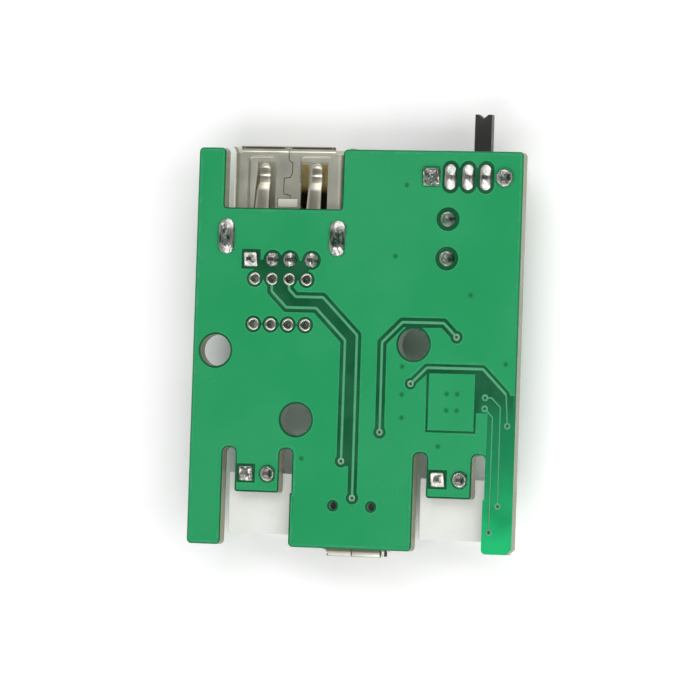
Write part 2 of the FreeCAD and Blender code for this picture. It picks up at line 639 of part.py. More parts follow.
def component_side_copper(blank):
    """Copper pour of the component face under its mask."""
    z0, z1 = UNDER, CORE_LOW
    low, high = z0 - 1, z1 + 1
    pour = outline_plate(blank, EDGE_MARGIN, z0, z1)
    _, free = tied_and_free_pads(low, high, PAD_GAP)
    tied, _ = tied_and_free_pads(low, high, 0)
    plain = [rod(x, y, low, high, PLAIN_HOLE_D / 2 + EDGE_MARGIN) for x, y in PLAIN_HOLES]
    finger = box(HEADER_RIGHT_X + FORK_W / 2 - SLOT_END_R / 2, RIGHT + 1, REAR - 1, TRACK_D[3][1], low, high)
    vias = [rod(x, y, low, high, VIA_RING_D / 2) for x, y in OPEN_VIAS + FINE_VIAS]
    pour = cut(pour, tied + free + plain + vias + [finger, pin_zone(low, high)]
               + component_pad_areas(low, high, PAD_GAP / 2))
    return [solid for solid in pour.Solids if solid.Volume > FOIL_T]


def surface_pads():
    """Tinned pads of the component face."""
    low, high = UNDER - 1, CORE_LOW + 1
    rings = [rod(x, y, low, high, VIA_RING_D / 2) for x, y in OPEN_VIAS + FINE_VIAS]
    return [cut(area, drills(low, high) + rings) for area in component_pad_areas(UNDER, CORE_LOW, 0)]


def ring_with_barrel(x, y, ring_d, hole_d, wall):
    """Plated hole: a ring on both faces joined by a barrel through the board."""
    ring_r, hole_r = ring_d / 2, hole_d / 2
    rings = [rod(x, y, CORE_TOP, FOIL_TOP + RING_PROUD, ring_r),
             rod(x, y, UNDER, CORE_LOW, ring_r),
             rod(x, y, CORE_LOW, CORE_TOP, hole_r + wall)]
    return cut(fuse(rings), [rod(x, y, UNDER - 1, FOIL_TOP + 1, hole_r)])


def spare_hole_rings():
    """Tinned rings of the eight holes that carry no part."""
    return [ring_with_barrel(x, y, SPARE_RING_D, SPARE_HOLE_D, BARREL_WALL) for x, y in SPARE_HOLES]


def via_rings():
    """Bare rings of the track vias, whose holes are drilled to the ring's bore."""
    rings = []
    for x, y in OPEN_VIAS + FINE_VIAS:
        for z0, z1 in ((CORE_TOP, FOIL_TOP), (UNDER, CORE_LOW)):
            ring = rod(x, y, z0, z1, VIA_RING_D / 2)
            rings.append(cut(ring, [rod(x, y, z0 - 1, z1 + 1, VIA_HOLE_D / 2)]))
    return rings


def solder_cone(x, y, pad_r, drill_r, rise, neck_r):
    """Solder that wets its pad, climbs its pin in a hollow curve and fills the hole."""
    foot = V(pad_r, 0, SOLDER_EDGE)
    waist = V((pad_r + neck_r) / 2 * 0.93, 0, rise * 0.42)
    neck = V(neck_r, 0, rise)
    top = V(0, 0, rise * 1.12)
    edges = [Part.Arc(foot, waist, neck).toShape()]
    corners = [neck, top, V(0, 0, UNDER), V(drill_r, 0, UNDER), V(drill_r, 0, CORE_TOP),
               V(pad_r, 0, CORE_TOP), foot]
    edges += [Part.LineSegment(a, b).toShape() for a, b in zip(corners, corners[1:])]
    cone = Part.Face(Part.Wire(edges)).revolve(V(0, 0, 0), V(0, 0, 1), 360)
    cone.translate(V(x, y, 0))
    return cone


def square_pad(x, y, half):
    """Tinned square pad."""
    return box(x - half, x + half, y - half, y + half, CORE_TOP, FOIL_TOP + SOLDER_EDGE / 2)


def soldered(joint, pins):
    """Joint with the room of its pins taken out."""
    return cut(joint, pins)


def pin_solder(places, pins):
    """Joints of a row of pins, the first on a square pad."""
    joints = []
    for i, (x, y) in enumerate(places):
        cone = solder_cone(x, y, PIN_PAD_D / 2, PIN_DRILL_D / 2, SOLDER_RISE, SOLDER_NECK)
        if i == 0:
            cone = fuse([cone, cut(square_pad(x, y, PIN_PAD_D / 2),
                                   [rod(x, y, UNDER, CORE_TOP, PIN_DRILL_D / 2)])])
        joints.append(soldered(cone, pins))
    return joints


def slot_solder(x, y, width, length, fill, rise, pins):
    """Joint in a long pad: a mound over an obround pad, joined to what fills its hole."""
    mound = Part.makeLoft([obround_wire(x, y, width, length, FOIL_TOP + SOLDER_EDGE),
                           obround_wire(x, y, width * 0.8, length * 0.86, rise * 0.7),
                           obround_wire(x, y, width * 0.45, length * 0.66, rise)], True)
    pad = obround(x, y, width, length, CORE_TOP, FOIL_TOP + SOLDER_EDGE)
    return soldered(fuse([mound, pad, fill]), pins)


def sheet_box(x0, x1, y0, y1, z0, z1, sheet, bend_r):
    """Folded sheet sleeve, open at both ends along Y."""
    outer = rounded_along(box(x0, x1, y0, y1, z0, z1), V(0, 1, 0), bend_r)
    inner = box(x0 + sheet, x1 - sheet, y0 - 1, y1 + 1, z0 + sheet, z1 - sheet)
    inner = rounded_along(inner, V(0, 1, 0), max(bend_r - sheet, sheet / 2))
    return outer.cut(inner)


def lip(y_root, y_tip, z_face, flare, sheet, x0, x1):
    """Mouth lip on a face that looks along Z: it leaves the face in a curve."""
    y_mid = (y_root + y_tip) / 2
    bow = flare * 0.3
    inward = -sheet if flare > 0 else sheet
    edges = [Part.Arc(V(x0, y_root, z_face), V(x0, y_mid, z_face + bow),
                      V(x0, y_tip, z_face + flare)).toShape(),
             Part.LineSegment(V(x0, y_tip, z_face + flare), V(x0, y_tip, z_face + flare + inward)).toShape(),
             Part.Arc(V(x0, y_tip, z_face + flare + inward), V(x0, y_mid, z_face + bow + inward),
                      V(x0, y_root, z_face + inward)).toShape(),
             Part.LineSegment(V(x0, y_root, z_face + inward), V(x0, y_root, z_face)).toShape()]
    return Part.Face(Part.Wire(edges)).extrude(V(x1 - x0, 0, 0))


def side_lip(y_root, y_tip, x_face, flare, sheet, z0, z1):
    """Mouth lip on a side wall: the face lip turned a quarter about the mouth's axis."""
    strip = lip(y_root, y_tip, 0, abs(flare), sheet, -(z1 - z0) / 2, (z1 - z0) / 2)
    strip.rotate(V(0, 0, 0), V(0, 1, 0), 90 if flare > 0 else -90)
    strip.translate(V(x_face, 0, (z0 + z1) / 2))
    return strip


def usb_spring(x, face_z, inward):
    """Leaf spring of the type A shell, rooted at the rear of its window."""
    root = USB_FRONT - USB_WINDOW_SETBACK - USB_WINDOW_L
    tip = USB_FRONT - USB_WINDOW_SETBACK - 0.15
    low = tip - USB_SPRING_CURL
    dip = inward * USB_SPRING_DIP
    t = inward * USB_SPRING_T
    line = [(root - 0.2, 0.0), (root, 0.0), (low - 0.8, dip * 0.9), (low, dip), (low + 0.8, dip * 0.9),
            (tip, dip * 0.35)]
    under = [(y, z + t) for y, z in reversed(line)]
    strip = side_prism([(y, face_z + z) for y, z in line + under], x - USB_WINDOW_W, x + USB_WINDOW_W)
    plan = prism([(x - USB_SPRING_ROOT_W / 2, root - 0.2), (x + USB_SPRING_ROOT_W / 2, root - 0.2),
                  (x + USB_SPRING_TIP_W / 2, tip), (x - USB_SPRING_TIP_W / 2, tip)],
                 face_z - USB_H / 2, face_z + USB_H / 2)
    return strip.common(plan)


def usb_a_shell():
    """Folded type A shell with its seam, springs, flared lips and two board legs."""
    x0, x1 = USB_X - USB_W / 2, USB_X + USB_W / 2
    face, far = UNDER, UNDER - USB_H
    root = USB_FRONT - USB_LIP_LENGTH
    shell = sheet_box(x0, x1, USB_BACK, root, far, face, USB_SHEET, USB_BEND_R)
    lips = [lip(root, USB_FRONT, face, USB_LIP_FLARE, USB_SHEET, x0 + USB_LIP_INSET, x1 - USB_LIP_INSET),
            lip(root, USB_FRONT, far, -USB_LIP_FLARE, USB_SHEET, x0 + USB_LIP_INSET, x1 - USB_LIP_INSET),
            side_lip(root, USB_FRONT, x1, USB_LIP_FLARE, USB_SHEET, far + USB_LIP_INSET,
                     face - USB_LIP_INSET),
            side_lip(root, USB_FRONT, x0, -USB_LIP_FLARE, USB_SHEET, far + USB_LIP_INSET,
                     face - USB_LIP_INSET)]
    legs = [box(x - USB_SHEET / 2, x + USB_SHEET / 2, y - USB_LEG_L / 2, y + USB_LEG_L / 2,
                face - USB_BEND_R - USB_SHEET, USB_LEG_PROUD) for x, y in usb_legs_at()]
    flap = box(x0 + USB_LIP_INSET, x1 - USB_LIP_INSET, USB_BACK - USB_SHEET, USB_BACK, far,
               face - USB_BEND_R)
    whole = fuse([shell, flap] + lips + legs)
    window_y1 = USB_FRONT - USB_WINDOW_SETBACK
    window_y0 = window_y1 - USB_WINDOW_L
    windows = []
    for z in (face, far):
        for side in (-1, 1):
            x = USB_X + side * USB_SPRING_X
            windows.append(box(x - USB_WINDOW_W / 2, x + USB_WINDOW_W / 2, window_y0, window_y1,
                               z - USB_SHEET * 1.5, z + USB_SHEET * 1.5))
    lug_y1 = USB_FRONT - USB_LUG_SETBACK
    windows.append(box(USB_X - USB_LUG_W / 2, USB_X + USB_LUG_W / 2, lug_y1 - USB_LUG_L, lug_y1,
                       face - USB_SHEET * 1.5, face + 1))
    key_y, step = USB_FRONT - USB_SEAM_KEY_SETBACK, USB_SEAM_STEP
    key_end = key_y - USB_SEAM_KEY_L
    seam = [(USB_X, USB_FRONT + 1), (USB_X, key_y), (USB_X + step, key_y - 0.3),
            (USB_X + step, key_end + 0.6), (USB_X + step - 0.25, key_end + 0.1),
            (USB_X - step - 0.05, key_end), (USB_X - step - 0.05, lug_y1 + 0.5),
            (USB_X + step - 0.2, lug_y1 + 0.3), (USB_X + step - 0.2, lug_y1 - USB_LUG_L / 2)]
    windows.append(ribbon(seam, USB_SEAM, face - USB_SHEET * 1.5, face + 1))
    windows.append(box(USB_PINS[0] - USB_CONTACT_W, USB_PINS[-1] + USB_CONTACT_W, USB_BACK - 1,
                       USB_PIN_Y + USB_CONTACT_W, face - USB_SHEET * 1.5, face + 1))
    whole = cut(whole, windows)
    springs = []
    for side in (-1, 1):
        springs.append(usb_spring(USB_X + side * USB_SPRING_X, face, -1))
        springs.append(usb_spring(USB_X + side * USB_SPRING_X, far, 1))
    return fuse([whole] + springs)


def usb_a_contacts():
    """Four contacts that lie on the tongue and turn up through the board."""
    top = UNDER - USB_SHEET - USB_TONGUE_DROP + USB_CONTACT_T
    low = top - USB_CONTACT_T
    front = USB_FRONT - USB_TONGUE_RECESS - 0.6
    tip = SOLDER_RISE * 1.45
    contacts = []
    for x in USB_PINS:
        strip = box(x - USB_CONTACT_W / 2, x + USB_CONTACT_W / 2, USB_PIN_Y - USB_PIN_D / 2, front, low, top)
        pin = box(x - USB_PIN_W / 2, x + USB_PIN_W / 2, USB_PIN_Y - USB_PIN_D / 2,
                  USB_PIN_Y + USB_PIN_D / 2, low, tip)
        slit = box(x - USB_PIN_W * 0.1, x + USB_PIN_W * 0.1, USB_PIN_Y - USB_PIN_D, USB_PIN_Y + USB_PIN_D,
                   tip - USB_PIN_D, tip + 1)
        contacts.append(fuse([strip, pin]).cut(slit))
    return contacts


def usb_a_insulator(contacts):
    """Moulded block and tongue that hold the contacts, with the lug that shows in the shell."""
    half = USB_W / 2 - USB_SHEET - USB_FIT
    face = UNDER - USB_SHEET - USB_FIT
    far = UNDER - USB_H + USB_SHEET + USB_FIT
    block_y1 = USB_BACK + USB_BLOCK_L
    block = box(USB_X - half, USB_X + half, USB_BACK, block_y1, far, face)
    block = rounded_along(block, V(0, 1, 0), USB_BEND_R - USB_SHEET)
    tongue_top = UNDER - USB_SHEET - USB_TONGUE_DROP
    tongue_y1 = USB_FRONT - USB_TONGUE_RECESS
    tongue = box(USB_X - USB_TONGUE_W / 2, USB_X + USB_TONGUE_W / 2, block_y1 - 1, tongue_y1,
                 tongue_top - USB_TONGUE_T, tongue_top)
    lug_y1 = USB_FRONT - USB_LUG_SETBACK - USB_FIT
    half_lug = USB_LUG_W / 2 - USB_FIT
    arm = box(USB_X - half_lug, USB_X + half_lug, block_y1 - 1, lug_y1, face - 0.5, face)
    lug = box(USB_X - half_lug, USB_X + half_lug, lug_y1 - USB_LUG_L + 2 * USB_FIT, lug_y1,
              face - 0.5, UNDER - USB_FIT)
    return cut(fuse([block, tongue, arm, lug]), contacts)


def micro_section(grow, y):
    """Closed wire of the micro shell's section at one place: square above, bevelled below."""
    half = MICRO_W / 2 + grow
    top, low = UNDER + grow, UNDER - MICRO_H - grow
    bevel = MICRO_BEVEL
    corners = [(-half, top), (half, top), (half, low + 1.4 * bevel), (half - bevel, low),
               (-half + bevel, low), (-half, low + 1.4 * bevel)]
    points = [V(MICRO_X + x, y, z) for x, z in corners]
    return Part.makePolygon(points + points[:1])


def micro_usb_shell():
    """Folded micro B shell with its seam, flared lips and solder wings."""
    root = MICRO_FRONT + MICRO_LIP_LENGTH
    outer = Part.Face(micro_section(0, root)).extrude(V(0, MICRO_LENGTH, 0))
    outer = rounded_along(outer, V(0, 1, 0), MICRO_BEND_R)
    inner = Part.Face(micro_section(-MICRO_SHEET, root - 1)).extrude(V(0, MICRO_LENGTH + 2, 0))
    shell = outer.cut(inner)
    half = MICRO_LIP_W / 2
    far = UNDER - MICRO_H
    lips = [lip(root, MICRO_FRONT, UNDER, MICRO_LIP_FLARE, MICRO_SHEET, MICRO_X - half, MICRO_X + half),
            lip(root, MICRO_FRONT, far, -MICRO_LIP_FLARE, MICRO_SHEET, MICRO_X - half + MICRO_BEVEL,
                MICRO_X + half - MICRO_BEVEL)]
    wings = []
    for side in (-1, 1):
        x0, x1 = sorted((MICRO_X + side * (MICRO_W / 2 - MICRO_SHEET),
                         MICRO_X + side * (MICRO_W / 2 + MICRO_WING_W)))
        y = root + MICRO_LENGTH / 2
        wings.append(box(x0, x1, y - MICRO_WING_L / 2, y + MICRO_WING_L / 2, UNDER - MICRO_SHEET, UNDER))
        z0, z1 = far + 1.4 * MICRO_BEVEL + 0.1, UNDER - MICRO_BEND_R - 0.1
        x_face = MICRO_X + side * MICRO_W / 2
        strip = lip(root, MICRO_FRONT, 0, MICRO_LIP_FLARE, MICRO_SHEET, -(z1 - z0) / 2, (z1 - z0) / 2)
        strip.rotate(V(0, 0, 0), V(0, 1, 0), side * 90)
        strip.translate(V(x_face, 0, (z0 + z1) / 2))
        wings.append(strip)
    seam = box(MICRO_X + MICRO_SEAM_X - MICRO_SEAM / 2, MICRO_X + MICRO_SEAM_X + MICRO_SEAM / 2,
               MICRO_FRONT - 1, MICRO_BACK + 1, UNDER - MICRO_SHEET * 1.4, UNDER + 1)
    peg_holes = [rod(x, y, UNDER - MICRO_SHEET * 1.4, UNDER + 1, MICRO_PEG_HOLE_D / 2)
                 for x, y in micro_pegs_at()]
    return cut(fuse([shell] + lips + wings), [seam] + peg_holes)


def micro_usb_contacts():
    """Five contacts on the micro tongue, bent at the rear onto their pads."""
    tongue_top = UNDER - MICRO_H / 2 + MICRO_TONGUE_T / 2
    t = MICRO_CONTACT_T
    front = MICRO_FRONT + MICRO_LIP_LENGTH + 0.9
    end = MICRO_BACK + MICRO_LEAD_REACH
    profile = [(front, tongue_top), (MICRO_BACK + t, tongue_top), (MICRO_BACK + t, UNDER - t),
               (end, UNDER - t), (end, UNDER), (MICRO_BACK, UNDER), (MICRO_BACK, tongue_top + t),
               (front, tongue_top + t)]
    contacts = []
    for i in range(MICRO_CONTACTS):
        x = MICRO_X + (i - (MICRO_CONTACTS - 1) / 2) * MICRO_CONTACT_PITCH
        contacts.append(side_prism(profile, x - MICRO_CONTACT_W / 2, x + MICRO_CONTACT_W / 2))
    return contacts


def micro_usb_insulator(contacts):
    """Moulded block, tongue and locating pegs of the micro socket."""
    root = MICRO_FRONT + MICRO_LIP_LENGTH
    half = MICRO_W / 2 - MICRO_SHEET - USB_FIT
    low = UNDER - MICRO_H + MICRO_SHEET + USB_FIT
    block = Part.Face(micro_section(-MICRO_SHEET - USB_FIT, MICRO_BACK - MICRO_BLOCK_L))
    block = block.extrude(V(0, MICRO_BLOCK_L, 0))
    middle = UNDER - MICRO_H / 2
    tongue = box(MICRO_X - MICRO_TONGUE_W / 2, MICRO_X + MICRO_TONGUE_W / 2, root + 0.6,
                 MICRO_BACK - MICRO_BLOCK_L / 2, middle - MICRO_TONGUE_T / 2, middle + MICRO_TONGUE_T / 2)
    pegs = [rod(x, y, UNDER - MICRO_SHEET - USB_FIT - 0.2, UNDER + MICRO_PEG_L, MICRO_PEG_D / 2)
            for x, y in micro_pegs_at()]
    return cut(fuse([block, tongue] + pegs), contacts)


def header_pins_of(middle):
    """Two bent square pins of a header, pointed at both ends."""
    half = HEADER_PIN / 2
    z = UNDER - HEADER_H / 2
    tip = HEADER_MOUTH_Y + HEADER_PIN_RECESS
    pins = []
    for side in (-1, 1):
        x = middle + side * HEADER_PITCH / 2
        level = box(x - half, x + half, tip, HEADER_PIN_Y + half, z - half, z + half)
        upright = box(x - half, x + half, HEADER_PIN_Y - half, HEADER_PIN_Y + half, z - half,
                      HEADER_PIN_PROUD)
        pin = fuse([level, upright])
        tops = [edge for edge in pin.Edges if abs(edge.CenterOfMass.z - HEADER_PIN_PROUD) < NEAR]
        noses = [edge for edge in pin.Edges if abs(edge.CenterOfMass.y - tip) < NEAR]
        pins.append(pin.makeChamfer(HEADER_PIN_POINT, tops + noses))
    return pins


def header_housing(middle, pins):
    """Side entry header housing, open at the rear edge of the board, with two keyways."""
    x0, x1 = middle - HEADER_W / 2, middle + HEADER_W / 2
    far = UNDER - HEADER_H
    body = box(x0, x1, HEADER_MOUTH_Y, HEADER_REAR_Y, far, UNDER)
    body = body.makeFillet(0.15, edges_along(body, V(0, 1, 0)))
    cavity = box(x0 + HEADER_WALL, x1 - HEADER_WALL, HEADER_MOUTH_Y - 1, HEADER_REAR_Y - HEADER_BACK_WALL,
                 far + HEADER_WALL, UNDER - HEADER_WALL)
    tools = [cavity]
    for side in (-1, 1):
        x = middle + side * HEADER_PITCH / 2
        tools.append(box(x - HEADER_SLOT_W / 2, x + HEADER_SLOT_W / 2, HEADER_PIN_Y - HEADER_SLOT_W / 2,
                         HEADER_REAR_Y + 1, UNDER - HEADER_H / 2 - HEADER_SLOT_W / 2, UNDER + 1))
        key_x = middle + side * (HEADER_W / 2 - HEADER_WALL - HEADER_KEY_W / 2)
        tools.append(box(key_x - HEADER_KEY_W / 2, key_x + HEADER_KEY_W / 2, HEADER_MOUTH_Y - 1,
                         HEADER_MOUTH_Y + HEADER_KEY_L, far - 1, far + HEADER_WALL + 0.1))
    return cut(body, tools + pins)


def switch_parts():
    """Base, terminals, bracket, slider and moving contact of the slide switch."""
    half_w = SWITCH_LEG_X + SWITCH_SHEET / 2
    y0, y1 = SWITCH_Y - SWITCH_D / 2, SWITCH_Y + SWITCH_D / 2
    far = UNDER - SWITCH_H
    base_low = UNDER - SWITCH_BASE_T
    inner = half_w - SWITCH_SHEET
    terminals = []
    for x, y in switch_terminals_at():
        blade = box(x - TERMINAL_W / 2, x + TERMINAL_W / 2, y - TERMINAL_T / 2, y + TERMINAL_T / 2,
                    base_low, SOLDER_RISE * 1.5)
        head = box(x - TERMINAL_W / 2, x + TERMINAL_W / 2, y - TERMINAL_HEAD / 2, y + TERMINAL_HEAD / 2,
                   base_low - TERMINAL_HEAD_T, base_low)
        terminals.append(fuse([blade, head]))
    base = box(SWITCH_X - inner, SWITCH_X + inner, y0 + SWITCH_SHEET, y1 - SWITCH_SHEET, base_low, UNDER)
    base = cut(base, terminals)
    cover = box(SWITCH_X - half_w, SWITCH_X + half_w, y0, y1, far, UNDER - SWITCH_SHEET)
    cover = cover.makeFillet(SWITCH_SHEET, edges_along(cover, V(0, 0, 1)))
    room = box(SWITCH_X - inner, SWITCH_X + inner, y0 + SWITCH_SHEET, y1 - SWITCH_SHEET,
               far + SWITCH_SHEET, UNDER)
    clip_top = base_low - TERMINAL_HEAD_T - SWITCH_CONTACT_GAP
    lever_top = clip_top - CLIP_T
    reach = (LEVER_W + SWITCH_TRAVEL) / 2 + SWITCH_PLAY
    slot = box(SWITCH_X - reach, SWITCH_X + reach, SWITCH_Y, y1 + 1,
               lever_top - LEVER_T - SWITCH_PLAY, lever_top + SWITCH_PLAY)
    legs = [box(x - SWITCH_SHEET / 2, x + SWITCH_SHEET / 2, y - SWITCH_LEG_W / 2, y + SWITCH_LEG_W / 2,
                UNDER - SWITCH_SHEET - 0.5, SOLDER_RISE * 0.9) for x, y in switch_legs_at()]
    bracket = fuse([cut(cover, [room, slot])] + legs)
    lever_x = SWITCH_X + SWITCH_TRAVEL / 2
    lever = box(lever_x - LEVER_W / 2, lever_x + LEVER_W / 2, SWITCH_Y, LEVER_TIP_Y,
                lever_top - LEVER_T, lever_top)
    notch = prism([(lever_x - LEVER_NOTCH_W / 2, LEVER_TIP_Y + 0.01), (lever_x, LEVER_TIP_Y - LEVER_NOTCH_D),
                   (lever_x + LEVER_NOTCH_W / 2, LEVER_TIP_Y + 0.01)], far, UNDER)
    slider_half = inner - SWITCH_TRAVEL / 2 - SWITCH_PLAY
    slider = box(lever_x - slider_half, lever_x + slider_half, y0 + SWITCH_SHEET + SWITCH_PLAY,
                 y1 - SWITCH_SHEET - SWITCH_PLAY, far + SWITCH_SHEET + SWITCH_PLAY, lever_top)
    clip = box(lever_x - CLIP_W / 2, lever_x + CLIP_W / 2, SWITCH_Y - CLIP_D / 2, SWITCH_Y + CLIP_D / 2,
               lever_top, clip_top)
    slider = fuse([slider, lever.cut(notch)])
    return base, terminals, bracket, slider, clip


def power_inductor():
    """Drum core, winding and pins of the power inductor."""
    top = UNDER - COIL_STANDOFF
    far = top - COIL_H
    r = COIL_D / 2
    flanges = [rod(COIL_X, COIL_Y, top - COIL_FLANGE_T, top, r),
               rod(COIL_X, COIL_Y, far, far + COIL_FLANGE_T, r)]
    flanges = [disc.makeFillet(COIL_EDGE_R, disc.Edges) for disc in flanges]
    core = fuse(flanges + [rod(COIL_X, COIL_Y, far, top, COIL_HUB_D / 2)])
    z0, z1 = far + COIL_FLANGE_T, top - COIL_FLANGE_T
    turns = int((z1 - z0) / COIL_WIRE_D)
    step = (z1 - z0) / turns
    outer = COIL_LAYER_D / 2
    edges = []
    for i in range(turns):
        a, b = z0 + i * step, z0 + (i + 1) * step
        crown = V(outer + step * 0.3, 0, (a + b) / 2)
        edges.append(Part.Arc(V(outer, 0, a), crown, V(outer, 0, b)).toShape())
    corners = [V(outer, 0, z1), V(COIL_HUB_D / 2, 0, z1), V(COIL_HUB_D / 2, 0, z0), V(outer, 0, z0)]
    edges += [Part.LineSegment(a, b).toShape() for a, b in zip(corners, corners[1:])]
    winding = Part.Face(Part.Wire(edges)).revolve(V(0, 0, 0), V(0, 0, 1), 360)
    winding.translate(V(COIL_X, COIL_Y, 0))
    pins = [rod(x, y, top - COIL_FLANGE_T * 0.6, SOLDER_RISE * 0.8, COIL_PIN_D / 2)
            for x, y in coil_pins_at()]
    return cut(core, pins), winding, pins


def chip_leads(chip):
    """Gull wing leads of a standing chip."""
    _, width, height, _, reach, foot = chip
    middle = CHIP_STANDOFF + (height - CHIP_STANDOFF) / 2
    side_y = width / 2
    knee = side_y + (reach - side_y) * 0.3
    heel = reach - foot
    profile = [(side_y - 0.1, middle + LEAD_T / 2), (knee, middle + LEAD_T / 2), (heel, LEAD_T),
               (reach, LEAD_T), (reach, 0), (heel - 0.08, 0), (knee - 0.05, middle - LEAD_T / 2),
               (side_y - 0.1, middle - LEAD_T / 2)]
    leads = []
    for x in lead_places(chip):
        lead = side_prism(profile, x - LEAD_W / 2, x + LEAD_W / 2)
        other = lead.copy()
        other.rotate(V(x, 0, 0), V(0, 0, 1), 180)
        leads += [lead, other]
    return leads


def chip_body(chip, leads):
    """Moulded body of a standing chip, drafted from its middle, with a dimple at pin 1."""
    length, width, height = chip[:3]
    middle = CHIP_STANDOFF + (height - CHIP_STANDOFF) / 2
    rims = []
    for z, shrink in ((CHIP_STANDOFF, CHIP_DRAFT), (middle, 0), (height, CHIP_DRAFT)):
        a, b = length / 2 - shrink, width / 2 - shrink
        points = [V(-a, -b, z), V(a, -b, z), V(a, b, z), V(-a, b, z)]
        rims.append(Part.makePolygon(points + points[:1]))
    body = Part.makeLoft(rims, True, True)
    dimple_at = (-length / 2 + DIMPLE_D, -width / 2 + DIMPLE_D)
    dimple = rod(dimple_at[0], dimple_at[1], height - DIMPLE_DEPTH, height + 1, DIMPLE_D / 2)
    return cut(body, leads + [dimple])


def placed_chip(chip, at):
    """Body and leads of one chip where it hangs under the board."""
    leads = chip_leads(chip)
    body = chip_body(chip, leads)
    return hang(body, *at), [hang(lead, *at) for lead in leads]


def end_capped(size, places):
    """Bodies and end caps of small two-ended parts."""
    length, width, height, cap = size
    half_l, half_w = length / 2, width / 2
    grow = END_CAP_PROUD
    body = box(-half_l + cap, half_l - cap, -half_w + grow, half_w - grow, grow, height - grow)
    caps = [box(-half_l, -half_l + cap, -half_w, half_w, 0, height),
            box(half_l - cap, half_l, -half_w, half_w, 0, height)]
    bodies = [hang(body, *at) for at in places]
    ends = [hang(end, *at) for at in places for end in caps]
    return bodies, ends


def status_leds():
    """Bases, end terminals and clear lenses of the indicator lights."""
    bases, ends = end_capped(LED_SIZE, LEDS_AT)
    _, width, height, _ = LED_SIZE
    z0 = height - END_CAP_PROUD
    lens = box(-LED_LENS_L / 2, LED_LENS_L / 2, -width / 2 + 0.1, width / 2 - 0.1, z0, z0 + LED_LENS_H)
    rim = [edge for edge in lens.Edges if edge.CenterOfMass.z > z0 + LED_LENS_H - NEAR]
    lens = lens.makeChamfer(LED_LENS_H * 0.3, rim)
    return bases, ends, [hang(lens, *at) for at in LEDS_AT]


def rectifier_diode():
    """Moulded diode with two wrap-under terminals."""
    length, width, height, foot = DIODE_SIZE
    body = box(-length / 2 + 0.2, length / 2 - 0.2, -width / 2, width / 2, 0.15, height)
    body = body.makeChamfer(0.12, [e for e in body.Edges if e.CenterOfMass.z > height - NEAR])
    strips = []
    for side in (-1, 1):
        x0, x1 = sorted((side * length / 2, side * (length / 2 - foot)))
        flat = box(x0, x1, -width * 0.28, width * 0.28, 0, 0.15)
        w0, w1 = sorted((side * length / 2, side * (length / 2 - 0.2)))
        wall = box(w0, w1, -width * 0.28, width * 0.28, 0, height * 0.55)
        strips.append(fuse([flat, wall]))
    return hang(cut(body, strips), *DIODE_AT), [hang(strip, *DIODE_AT) for strip in strips]


def output_capacitor():
    """Upright can capacitor on its chamfered base, with two flat terminals."""
    half = CAN_BASE / 2
    c = CAN_CHAMFER
    plan = [(-half, -half), (half - c, -half), (half, -half + c), (half, half - c), (half - c, half),
            (-half, half)]
    base = prism(plan, CAN_STANDOFF, CAN_BASE_T)
    socket = rod(0, 0, CAN_BASE_T - 0.3, CAN_BASE_T + 1, CAN_D / 2)
    can = rod(0, 0, CAN_BASE_T - 0.3, CAN_H, CAN_D / 2)
    can = can.makeFillet(0.35, [e for e in can.Edges if e.CenterOfMass.z > CAN_H - NEAR])
    groove_z = CAN_BASE_T + 0.7
    groove = Part.makeTorus(CAN_D / 2 + 0.05, 0.28, V(0, 0, groove_z), V(0, 0, 1))
    leads = [box(*sorted((side * 0.6, side * (half + 0.3))), -CAN_LEAD_W / 2, CAN_LEAD_W / 2, 0, CAN_STANDOFF)
             for side in (-1, 1)]
    return (hang(base.cut(socket), *CAN_AT), hang(can.cut(groove), *CAN_AT),
            [hang(lead, *CAN_AT) for lead in leads])


def write(name, solids):
    """One sub-part as a file, moved so that it rests on Z = 0 about the middle of its outline."""
    group = Part.makeCompound(solids) if len(solids) > 1 else solids[0]
    shape = group.copy()
    shape.translate(V(0, -(LEVER_TIP_Y + MICRO_FRONT) / 2, -LOWEST))
    shape.exportStep("parts/" + name + ".step")


def write_board():
    """The board with its copper and its bare rings."""
    blank = board_blank()
    write("circuit_board", [circuit_board(blank)])
    write("solder_side_copper", solder_side_copper(blank))
    write("component_side_copper", component_side_copper(blank))
    write("surface_pads", surface_pads())
    write("spare_hole_rings", spare_hole_rings())
    write("via_rings", via_rings())


def write_sockets():
    """Both sockets and their solder."""
    shell = usb_a_shell()
    contacts = usb_a_contacts()
    write("usb_a_shell", [shell])
    write("usb_a_contacts", contacts)
    write("usb_a_insulator", [usb_a_insulator(contacts)])
    write("usb_a_pin_solder", pin_solder([(x, USB_PIN_Y) for x in USB_PINS], contacts))
    write("usb_a_leg_solder", [slot_solder(x, y, TAB_PAD_W, TAB_PAD_L,
                                           obround(x, y, TAB_SLOT_W, TAB_SLOT_L, UNDER, CORE_TOP),
                                           SOLDER_RISE * 0.8, [shell]) for x, y in usb_legs_at()])
    micro_contacts = micro_usb_contacts()
    write("micro_usb_shell", [micro_usb_shell()])
    write("micro_usb_contacts", micro_contacts)
    write("micro_usb_insulator", [micro_usb_insulator(micro_contacts)])


def write_headers():
    """Both battery headers with their pins and solder."""
    for side, middle in (("left", HEADER_LEFT_X), ("right", HEADER_RIGHT_X)):
        pins = header_pins_of(middle)
        places = [(middle + sign * HEADER_PITCH / 2, HEADER_PIN_Y) for sign in (-1, 1)]
        write("battery_header_" + side, [header_housing(middle, pins)])
        write("battery_header_" + side + "_pins", pins)
        write("battery_header_" + side + "_solder", pin_solder(places, pins))


